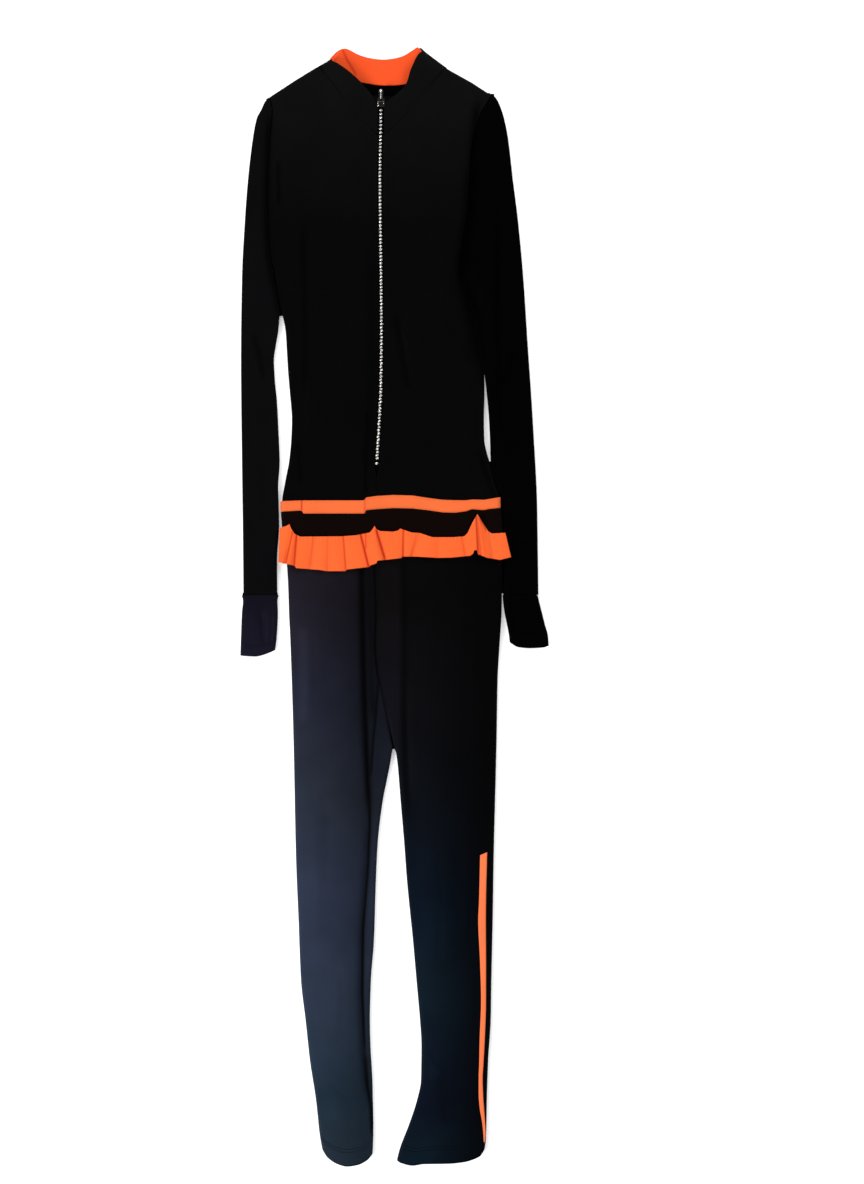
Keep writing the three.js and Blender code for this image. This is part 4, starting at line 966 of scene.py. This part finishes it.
def frill_back():
    s = np.linspace(0, 1, 241)[None, :]
    v = np.linspace(0, 1, 13)[:, None]
    x = mix(FRILL_BACK["left"], FRILL_BACK["right"], s) + 0 * v
    down = FRILL_BACK["top"] + mix(SEAM, FRILL_BACK["depth"], v) + 0 * s
    turns = 2 * np.pi * s * FRILL_BACK["waves"]
    wave = FRILL_BACK["wave"] * (1 - np.cos(turns + np.sin(2.3 * np.pi * s))) * mix(0.4, 1, v)
    face = place(x, down, FRILL_RISE + wave)
    lining = place(x, down, 0.05 + 0 * wave)
    piece = wall("frill_back_cloth", face, lining, ORANGE)
    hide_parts("frill_back")
    return piece


def lap_base(x, down):
    """How far the left sleeve is lifted where it laps over the body's side."""
    reach = ease(LAP["from"], LAP["up"], down) * ease(LAP["to"], LAP["falls"], down)
    edge = side_at(down, "right") + LAP["out"]
    return LAP["rise"] * reach * ease(edge + LAP["fall"], edge, x)


def no_lift(x, down):
    return np.zeros(np.shape(x))


def ring_shares(count):
    inset = np.concatenate([EDGE_STEPS, np.full(count - 1, HALF_DEPTH), DEPTH - EDGE_STEPS[::-1]])
    near = np.zeros(len(EDGE_STEPS))
    share = np.concatenate([near, np.arange(1, count) / count, near + 1])
    return inset[None, :], share[None, :]


def flat_tube(rows, count, path, base, extra=None):
    """A flattened tube, as its outer and inner rings, that run between two edges in plan."""
    inset, share = ring_shares(count)
    v = np.linspace(0, 1, rows + 1)[:, None]
    rings = []
    for inward in (0.0, CLOTH):
        x, down, run = path(v, inset, share, inward)
        radius = HALF_DEPTH - inward
        round_ = crown(run, radius)
        middle = base(x, down) + HALF_DEPTH
        lift = fold_at(x, down) + (extra(x, down) if extra else 0)
        top = place(x, down, middle + (radius + lift) * round_)
        under = place(x, down, middle - radius * round_)
        rings.append(np.concatenate([top, under[:, -2:0:-1]], axis=1))
    return rings


def ring_path(start, end, inset, share, inward):
    (x0, down0), (x1, down1) = start, end
    length = np.hypot(x1 - x0, down1 - down0)
    clear = length - 2 * inward
    run = inset * clear / length + share * (clear - DEPTH * clear / length)
    t = (run + inward) / length
    return t, mix(x0, x1, t), mix(down0, down1, t), np.minimum(run, clear - run)


def sleeve(side):
    spec = SLEEVES[side]
    top, armpit, sign = spec["top"], spec["armpit"], spec["sign"]
    wrist = CUFF_SEAM - SEAM
    edge = "left" if side == "right" else "right"

    def path(v, inset, share, inward):
        g = v**ROW_SPREAD
        outer_down, inner_down = mix(top, wrist, g), mix(armpit, wrist, g)
        start = (smooth(spec["outer"], "down", "x", outer_down), outer_down)
        end = (smooth(spec["inner"], "down", "x", inner_down), inner_down)
        t, x, down, run = ring_path(start, end, inset, share, inward)
        chord = mix(spec["outer"]["x"][0], spec["inner"]["x"][0], t)
        seam = smooth(BODICE_SIDES, "down", edge, mix(top, armpit, t)) + sign * 3 * SEAM
        return x + (seam - chord) * ease(ARMHOLE_SHARE, 0, g), down, run

    rings = flat_tube(*GRIDS["sleeve"], path, lap_base if side == "left" else no_lift)
    # The right sleeve has painted light, the left one painted shading.
    material = BLACK_LIT if side == "right" else BLACK_SHADED
    piece = tube(f"sleeve_{side}_cloth", *rings, material, "black_knit", shade_at)
    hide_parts(f"sleeve_{side}")
    return piece


def cuff(side):
    spec = CUFFS[side]
    left, right = cuff_edges(side)

    def path(v, inset, share, inward):
        hem = smooth(spec["hem"], "share", "down", hem_share(inset, share, spec["width"]))
        down = mix(CUFF_SEAM, hem, v)
        return ring_path((left(down), down), (right(down), down), inset, share, inward)[1:]

    hem_line = float(spec["hem"]["down"].mean())

    def steps(x, down):
        """The hem's step, and a low welt below the wrist seam."""
        return hem_rise(down, hem_line, 12, 0.35) + 0.5 * np.exp(-(((down - CUFF_SEAM - 2.5) / 1.8) ** 2))

    rings = flat_tube(*GRIDS["cuff"], path, no_lift, steps)
    # The right cuff has painted light, the left one painted shading.
    material = BLACK_CUFF_LIT if side == "right" else BLACK_SHADED
    piece = tube(f"cuff_{side}_cloth", *rings, material, "black_knit")
    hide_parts(f"cuff_{side}")
    return piece


def through(points, u):
    """A centripetal Catmull-Rom curve through points, at shares u of its spans."""
    last = len(points) - 1
    ends = [2 * points[0] - points[1], *points, 2 * points[-1] - points[-2]]
    ends = np.array(ends)
    i = np.clip(np.floor(u * last).astype(int), 0, last - 1)
    t = (u * last - i)[:, None]
    p0, p1, p2, p3 = (ends[i + k] for k in range(4))
    gap = lambda a, b: np.sqrt(np.linalg.norm(b - a, axis=1))[:, None]
    d0, d1, d2 = gap(p0, p1), gap(p1, p2), gap(p2, p3)
    m1 = ((p1 - p0) / d0 - (p2 - p0) / (d0 + d1) + (p2 - p1) / d1) * d1
    m2 = ((p2 - p1) / d1 - (p3 - p1) / (d1 + d2) + (p3 - p2) / d2) * d1
    return p1 + m1 * t + (3 * (p2 - p1) - 2 * m1 - m2) * t**2 + (2 * (p1 - p2) + m1 + m2) * t**3


def collar_rails(u):
    rails = []
    for end in ("seam", "top"):
        points = place(COLLAR[f"{end}_x"], COLLAR[f"{end}_down"], COLLAR[f"{end}_z"])
        rails.append(through(points, np.clip(u, 0, 1)))
    return rails


def collar_grid(u, v, depth, relief=0.0):
    """The strip's face, set inwards by a depth in millimetres. It rests on the floor at the back."""

    def point(at_u, at_v):
        seam, top = collar_rails(at_u)
        return seam[None] + (top - seam)[None] * at_v[:, None, None]

    step = 0.004
    along = point(u + step, v) - point(u - step, v)
    up = point(u, v + step) - point(u, v - step)
    inward = np.cross(along, up)
    inward /= np.linalg.norm(inward, axis=-1, keepdims=True)
    offset = np.full((len(v), len(u)), float(depth)) + relief
    grid = point(u, v) + inward * offset[..., None] * MM
    grid[..., 2] = np.maximum(grid[..., 2], depth * MM)
    return grid


def collar():
    u = np.linspace(0, 1, 321)
    v = np.linspace(0.004, 1, 17)
    outer = collar_grid(u, v, 0)
    inner = collar_grid(u, v, COLLAR_WALL)
    piece = wall("collar_outer_cloth", outer, inner, BLACK)
    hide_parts("collar_outer")

    u = np.linspace(FACING["from"], FACING["to"], 161)
    v = np.linspace(FACING["foot"], FACING["top"], 25)
    outset = COLLAR_WALL + FACING["gap"]
    across, up = np.meshgrid(u, v)
    soft = 0.25 * (1 + np.sin(60 * across + 3 * up)) * ease(0, 0.3, up) * ease(1, 0.7, up)
    lap = -FACING["lap"] * ease(0.24, 0.27, across) * ease(0.46, 0.4, across) * ease(0.62, 0.92, up)
    outer = collar_grid(u, v, outset, lap)
    inner = collar_grid(u, v, outset + 1, soft)
    facing = wall("collar_facing_cloth", outer, inner, FACING_KNIT, orange_painted_shading)
    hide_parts("collar_facing")
    return piece, facing


# Seam allowances default to the black knit with painted shading.
def seam_tape(name, x, down, z, half, material=BLACK_SHADED):
    """The seam allowance inside a seam: a narrow strip along a line in plan."""
    x, down, z = np.broadcast_arrays(x, down, z)
    across = np.linspace(-half, half, 7)[None, :]
    towards = np.stack([np.gradient(down), -np.gradient(x)], -1)
    towards /= np.linalg.norm(towards, axis=1, keepdims=True)
    x, down = x[:, None] + towards[:, :1] * across, down[:, None] + towards[:, 1:] * across
    return wall(name, place(x, down, z[:, None]), place(x, down, z[:, None] - 0.5), material)


def zip_strip(name, start, end, half, low, high, replaced):
    down = np.linspace(start, end, 161)[:, None]
    x = centre_at(down) + np.linspace(-half, half, 5)[None, :]
    face, lining = (place(x, down, zip_face(down) + z) for z in (high, low))
    piece = wall(name, face, lining, TAPE)
    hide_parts(replaced)
    return piece


def stripe():
    v = np.linspace(0, 1, 121)[:, None]
    s = np.linspace(0, 1, 7)[None, :]
    start, end = STRIPE["down"][0], STRIPE["down"][-1]
    down = mix(start, end, v) + STRIPE_SLANT * (1 - s) * ease(0.1, 0, v)
    x = mix(smooth(STRIPE, "down", "inner", down), smooth(STRIPE, "down", "outer", down), s)
    z = body_top(x, down) + CLEAR
    soft = 0.35 * crown(np.minimum(s, 1 - s), 0.18)
    face, lining = place(x, down, z + 0.45 + soft), place(x, down, z)
    piece = wall("leg_stripe_cloth", face, lining, ORANGE)
    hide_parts("leg_stripe")
    return piece


# Stones: a cut crown over a cup, as points and faces round the origin.
def stone(radius, sides=8):
    angles = np.arange(sides) * 2 * np.pi / sides
    half = angles + np.pi / sides
    ring = lambda a, r, z: np.stack([r * np.cos(a), r * np.sin(a), np.full(len(a), z)], -1)
    table_ring = ring(half, 0.52 * radius, 0.5 * radius)
    star_ring = ring(angles, 0.82 * radius, 0.3 * radius)
    girdle = ring(half, radius, 0)
    foot = ring(half, 0.8 * radius, -0.25 * radius)
    middles = [[0, 0, 0.5 * radius], [0, 0, -0.25 * radius]]
    points = np.concatenate([table_ring, star_ring, girdle, foot, middles])
    faces = []
    for i in range(sides):
        j = (i + 1) % sides
        t, s, g, f = (lambda k, n=n: k + n * sides for n in range(4))
        faces += [
            (4 * sides, t(i), t(j)),
            (t(i), s(i), g(i)),
            (t(i), g(i), s(j)),
            (t(i), s(j), t(j)),
            (s(j), g(i), g(j)),
            (g(i), f(i), f(j)),
            (g(i), f(j), g(j)),
            (4 * sides + 1, f(j), f(i)),
        ]
    return points, faces


def cup(radius, sides=12):
    """The setting under a stone: a shallow cup with a beaded rim."""
    profile = np.array([(0.7, -0.55), (1.05, -0.5), (1.12, -0.1), (1.02, 0.1), (0.9, 0.02), (0.85, -0.3)])
    angles = np.arange(sides) * 2 * np.pi / sides
    reach, height = radius * profile[:, :1], radius * profile[:, 1:] + 0 * angles
    points = np.stack([reach * np.cos(angles), reach * np.sin(angles), height], -1).reshape(-1, 3)
    index = np.arange(len(points)).reshape(-1, sides)
    after, above = np.roll(index, -1, 1), np.roll(index, -1, 0)
    across = np.roll(above, -1, 1)
    return points, np.stack([index, after, across, index, across, above], -1).reshape(-1, 3)


def scattered(name, shape, spots, turns, material, body="garment", facets=True):
    """Copies of one small shape at spots in metres, each turned about Z, joined into one piece."""
    points, faces = shape
    faces = np.array(faces)
    every_point, every_face = [], []
    for k, (spot, turn) in enumerate(zip(spots, turns)):
        c, s = math.cos(turn), math.sin(turn)
        spin = np.array([[c, -s, 0], [s, c, 0], [0, 0, 1]])
        every_point.append(points @ spin.T * MM + spot)
        every_face.append(faces + k * len(points))
    every_point = np.concatenate(every_point)
    every_face = np.concatenate(every_face)
    return make(name, every_point, every_face, len(every_face), material, body, facets)


def jewels(name, radius, spots, cup_turns, turns, body="garment"):
    """Stones in their settings, as two pieces whose names fill in one pattern."""
    scattered(name.format("setting"), cup(radius), spots, cup_turns, SILVER, body, False)
    scattered(name.format("stone"), stone(radius), spots, turns, CRYSTAL, body)


def zip_chain():
    low = -TAPE_DEEP - TAPE_WALL
    tape = zip_strip("zip_tape_cloth", ZIP_TOP - 4, ZIP_END + 6, TAPE_HALF, low, -TAPE_DEEP, "zip_tape")
    zip_strip("zip_teeth", ZIP_TOP + 5, ZIP_END, 1.5, SEAM - TAPE_DEEP, 0.1, "zip_chain")
    share = np.arange(ZIP_STONES) / (ZIP_STONES - 1)
    down = ZIP_TOP + 7 + (ZIP_END - ZIP_TOP - 13) * share * (1.09 - 0.09 * share)
    down = np.append(down, ZIP_END - 0.5)
    numbers = np.arange(len(down))
    stagger = 0.25 * np.where(numbers % 2, 1, -1) * ease(250, 330, down)
    spots = place(centre_at(down) + stagger, down, zip_face(down) + 0.6)
    points, faces = cup(ZIP_STONE * 0.96)
    wide = points * np.array([1.25, 1, 1])
    seats = spots - np.array([0, 0, 0.15 * MM])
    scattered("zip_settings", (wide, faces), seats, 0 * numbers, SILVER, facets=False)
    scattered("zip_stones", stone(ZIP_STONE), spots, 1.7 * numbers, CRYSTAL)
    return tape


# Sewing
def seat_on(piece, x, down):
    """The spot on a piece's face under a point in plan, in metres, or None past its edge."""
    world = piece.matrix_world
    start = world.inverted() @ Vector((x * MM, (LENGTH / 2 - down) * MM, 0.1))
    hit, spot, _, _ = piece.ray_cast(start, world.inverted().to_3x3() @ Vector((0, 0, -1)))
    return world @ spot if hit else None


def stitched(name, piece, lines, material, pitch=2.6, length=1.9, thick=0.42):
    """Rows of stitches along lines of (x, down) on a piece, joined into one mesh."""
    sides = 6
    angles = np.arange(sides) * 2 * np.pi / sides
    profile = ((0, 0.45), (0.2, 0.9), (0.5, 1), (0.8, 0.9), (1, 0.45))
    index = np.arange(len(profile) * sides).reshape(-1, sides)
    after = np.roll(index, -1, 1)
    tip = np.full(sides, index.size)
    quads = np.stack([index[:-1], after[:-1], after[1:], index[:-1], after[1:], index[1:]], -1).reshape(-1, 3)
    ends = [np.stack([tip, after[0], index[0]], -1), np.stack([tip + 1, index[-1], after[-1]], -1)]
    stitch = np.concatenate([quads, *ends])
    every_point, every_face = [], []
    for line in lines:
        line = np.array(line, float)
        along = np.concatenate([[0], np.cumsum(np.hypot(*np.diff(line, axis=0).T))])
        for at in np.arange(pitch / 2, along[-1], pitch):
            ends = [at - length / 2, at + length / 2]
            spots = [seat_on(piece, *(np.interp(end, along, row) for row in line.T)) for end in ends]
            if None in spots:
                continue
            a, b = (np.array(spot) for spot in spots)
            forward = b - a
            if np.linalg.norm(forward) > 2 * length * MM:
                continue
            forward /= np.linalg.norm(forward)
            sideways = np.cross(forward, (0, 0, 1))
            sideways /= np.linalg.norm(sideways)
            up = np.cross(sideways, forward)
            ring = np.outer(np.cos(angles), sideways) + np.outer(np.sin(angles), up)
            rings = []
            for share, width in profile:
                middle = mix(a, b, share) + up * thick * MM * (0.05 + 0.3 * math.sin(math.pi * share))
                rings.append(middle + thick / 2 * width * MM * ring)
            every_face.append(stitch + len(every_point) * (index.size + 2))
            every_point.append(np.concatenate([*rings, [a, b]]))
    faces = np.concatenate(every_face)
    return make(name, np.concatenate(every_point), faces, len(faces), material)


def across_line(edges, hem, lift, count):
    """A line of points across a piece between its two edges, at a lift above its hem."""
    share = np.linspace(0.03, 0.97, count)
    down = smooth(hem, "share", "down", share) - lift
    return list(zip(mix(edges[0](down), edges[1](down), share), down))


# The garment
fronts = {side: bodice_front(side) for side in ("right", "left")}
back = bodice_back()
legs = {}
# Each leg gets the black knit with its own painted light.
for side, material in (("right", LEG_KNIT_LIT), ("left", LEG_KNIT_SHADED)):
    for layer in ("front", "back"):
        legs[layer, side] = leg(layer, side, material)
sleeves = {side: sleeve(side) for side in ("right", "left")}
cuffs = {side: cuff(side) for side in ("right", "left")}
collar_outer, collar_facing = collar()

# Seam allowances: strips inside the seams, so that no seam lets the floor show through.
steps = np.linspace(0, 1, 61)
for side, start, end in (("right", -80.5, -18), ("left", 55.5, -10.5)):
    x = mix(start, end, steps)
    z = 2.9 + 3 * ease(0, 8, np.abs(x - start))
    seam_tape(f"neck_seam_{side}", x, straight(FRONT_TOP, "x", "down", x), z, 3.4, BLACK)
x = mix(BACK_COLLAR["left"], BACK_COLLAR["right"], steps)
seam_tape("neck_seam_back", x, straight(BACK_TOP, "x", "down", x), 1.75, 6)
for side, edge in (("right", "left"), ("left", "right")):
    down = mix(SLEEVES[side]["top"] + 0.6, SLEEVES[side]["armpit"] + 4, steps)
    seam_tape(f"armhole_seam_{side}", smooth(BODICE_SIDES, "down", edge, down), down, 3.3, 4.5)
    left, right = (float(at(CUFF_SEAM)) for at in cuff_edges(side))
    x = mix(left + 0.9, right - 0.9, steps)
    z = 2.8 + 2.1 * crown(np.minimum(x - left, right - x) - 0.8, 2.2)
    seam_tape(f"cuff_seam_{side}", x, CUFF_SEAM - SEAM / 2, z, 2.5)
down = mix(ZIP_END + 4, CROTCH + 2, steps)
seam_tape("centre_seam", centre_at(down), down, body_top(centre_at(down), down) - 1.1, 3)

# Where a sleeve lies against the side, its underarm seam closes the view down to the floor.
UNDERARMS = {
    "right": table("x down", (-130.4, 224), (-128, 240), (-125, 258), (-121, 284)),
    "left": table("x down", (69, 228), (70.8, 240), (77, 254), (83, 268)),
    "left_low": table(
        "x down",
        (101.6, 438), (106, 461), (112.6, 480), (114.9, 498), (115.4, 522), (115.4, 559), (114.4, 578),
    ),
}
for name, rows in UNDERARMS.items():
    down = mix(rows["down"][0], rows["down"][-1], steps)
    seam_tape(f"underarm_{name}", straight(rows, "down", "x", down), down, 1, 2.4)


def band_steps(x, down):
    """The band lies in three lengths: each steps over the next."""
    return BAND_LAPS["rise"] * ease(*BAND_LAPS["right"], x) * ease(*BAND_LAPS["left"], x)


def peplum_top(x):
    return straight(BAND_EDGES, "x", "bottom", x) + SEAM


feet = {"front": lambda x: frill_top(x) - 2 * SEAM, "back": lambda x: FRILL_BACK["top"] - SEAM + 0 * x}
bands = {}
peplums = {}
for layer, foot in feet.items():
    steps_over = band_steps if layer == "front" else None
    edges = band_edge("top"), band_edge("bottom")
    bands[layer] = hip_piece("hip_band", layer, *edges, ORANGE, "orange_knit", steps_over, orange_painted_shading)
    peplums[layer] = hip_piece("peplum", layer, peplum_top, foot, BLACK_WARM, "black_knit")
frills = {"front": frill_front(), "back": frill_back()}
leg_stripe = stripe()
zip_tape = zip_chain()

# The slider and its pull keep their CAD shape and get their finish and stones here.
for name in ("zip_slider", "zip_pull"):
    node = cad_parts[name]
    node.data.materials.clear()
    node.data.materials.append(GUNMETAL)
pull_low, pull_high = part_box("zip_pull")
pull_middle = (pull_low + pull_high) / 2
pull_length = pull_high.y - pull_low.y
spots = [
    (pull_middle.x, pull_low.y + pull_length * share, pull_high.z + 0.1 * MM)
    for share in (0.36, 0.48, 0.6, 0.72)
]
jewels("pull_{}s", PULL_STONE, spots, range(4), range(4), "zip_pull")
tip = [(pull_middle.x, pull_high.y - 1.7 * MM, pull_high.z + 0.2 * MM)]
jewels("pull_tip_{}", TIP_STONE, tip, [0.3], [0.3], "zip_pull")
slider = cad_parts["zip_slider"]
low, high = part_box("zip_slider")
middle = (low.x + high.x) / 2 / MM
# Stones on the slider: how far aside of its middle, how far up from its lower end, and radius.
SLIDER_STONES = [(-2.8, 1.3, 0.8), (-2.8, 3.4, 0.5), (-2.7, 5.2, 0.5), (2.8, 3.6, 0.45), (2.7, 5.2, 0.45)]
for number, (aside, up, radius) in enumerate(SLIDER_STONES):
    spot = seat_on(slider, middle + aside, LENGTH / 2 - low.y / MM - up)
    if spot is not None:
        spot = [np.array(spot) + np.array([0, 0, 0.3 * radius * MM])]
        jewels(f"slider_{{}}_{number}", radius, spot, [0], [0.2])

# Topstitching
downs = np.linspace(NECK_SEAM + 6, ZIP_END + 8, 60)
for side, sign in (("right", -1), ("left", 1)):
    line = list(zip(centre_at(downs) + sign * (ZIP_GAP + 6.2), downs))
    stitched(f"zip_stitching_{side}", fronts[side], [line], THREAD)
    lines = [across_line(leg_edges(side), HEMS[side], lift, 40) for lift in LEG_STITCHES]
    stitched(f"leg_hem_stitching_{side}", legs["front", side], lines, THREAD)
    lines = [across_line(cuff_edges(side), CUFFS[side]["hem"], lift, 20) for lift in CUFF_STITCHES]
    stitched(f"cuff_hem_stitching_{side}", cuffs[side], lines, THREAD)
xs = np.linspace(-116, 110, 200)
inset = {"top": 1.6, "bottom": -1.6}
band_lines = [list(zip(xs, straight(BAND_EDGES, "x", edge, xs) + inset[edge])) for edge in inset]
stitched("hip_band_stitching", bands["front"], band_lines, THREAD_ORANGE)

BACK = ["bodice_back_cloth"]
BOTH_FRONTS = ["bodice_front_right_cloth", "bodice_front_left_cloth"]
BOTH_LEGS = ["leg_front_right_cloth", "leg_front_left_cloth"]
# The cut of each piece of cloth: width and length, and its area where it isn't a rectangle.
CUTS = [
    (fronts["right"], 126, 475, 0.0500, BACK),
    (fronts["left"], 138, 475, 0.0490, BACK),
    (back, 255, 475, 0.1010, []),
    (legs["front", "right"], 132, 712, 0.0640, ["leg_back_right_cloth"]),
    (legs["front", "left"], 150, 712, 0.0780, ["leg_back_left_cloth"]),
    (legs["back", "right"], 132, 712, 0.0640, []),
    (legs["back", "left"], 150, 712, 0.0780, []),
    (sleeves["right"], 110, 540, 0.0400, []),
    (sleeves["left"], 140, 545, 0.0560, ["bodice_front_left_cloth"]),
    (cuffs["right"], 85, 66, None, []),
    (cuffs["left"], 90, 58, None, []),
    (collar_outer, 330, 34, 0.0088, BOTH_FRONTS),
    (collar_facing, 140, 34, 0.0037, ["collar_outer_cloth"]),
    (bands["front"], 240, 14, None, BOTH_FRONTS),
    (bands["back"], 240, 14, None, []),
    (peplums["front"], 240, 30, 0.0056, BOTH_LEGS),
    (peplums["back"], 240, 25, 0.0056, []),
    (frills["front"], 265, 36, None, BOTH_LEGS),
    (frills["back"], 250, 39, None, []),
    (leg_stripe, 10, 290, 0.0020, ["leg_front_left_cloth"]),
    (zip_tape, 14, 396, None, BACK),
]
for piece, width, length, area, under in CUTS:
    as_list(under)

# Floor, light and camera
FLOOR_REACH = 6
corners = [(x * FLOOR_REACH, y * FLOOR_REACH) for x, y in ((-1, -1), (1, -1), (1, 1), (-1, 1))]
floor_mesh = bpy.data.meshes.new("floor")
floor_mesh.from_pydata([(x, y, -FLOOR_GAP * MM) for x, y in corners], [], [(0, 1, 2, 3)])
white, _, finish, _ = new_material("floor_white")
finish({"Base Color": (0.9, 0.9, 0.9, 1), "Roughness": 0.9, "Specular IOR Level": 0.1})
finish({"Emission Color": (1, 1, 1, 1), "Emission Strength": 0.3})
floor_mesh.materials.append(white)
floor = bpy.data.objects.new("floor", floor_mesh)
bpy.context.collection.objects.link(floor)


def area_light(name, at, size, power, colour=(1, 1, 1)):
    data = bpy.data.lights.new(name, "AREA")
    data.shape = "SQUARE"
    data.size = size
    data.energy = power
    data.color = colour
    light = bpy.data.objects.new(name, data)
    light.location = at
    light.rotation_mode = "QUATERNION"
    light.rotation_quaternion = Vector(at).to_track_quat("Z", "Y")
    bpy.context.collection.objects.link(light)


area_light("key", (-2.2, -1.6, 1.9), 1.6, 120)
area_light("fill", (2.1, 1.7, 1.8), 1.8, 70)
area_light("back_fill", (-0.6, 2.6, 1.6), 1.4, 40)
world = bpy.data.worlds.new("studio")
world.use_nodes = True
world.node_tree.nodes["Background"].inputs["Color"].default_value = (1, 1, 1, 1)
world.node_tree.nodes["Background"].inputs["Strength"].default_value = 0.45
bpy.context.scene.world = world
bpy.context.scene.view_settings.view_transform = "Standard"

# The camera looks straight down on the middle of the photograph, whose pixel is 1.06 mm.
PIXEL = 1.06 * MM
VIEW_HEIGHT = 1184 * PIXEL
VIEW_MIDDLE = (0.0398, 0.0159)
CAMERA_HEIGHT = 3.2
camera_data = bpy.data.cameras.new("camera")
camera_data.sensor_width = 36
camera_data.lens = camera_data.sensor_width * CAMERA_HEIGHT / VIEW_HEIGHT
camera = bpy.data.objects.new("camera", camera_data)
camera.location = (*VIEW_MIDDLE, CAMERA_HEIGHT + HALF_DEPTH * MM)
bpy.context.collection.objects.link(camera)
bpy.context.scene.camera = camera
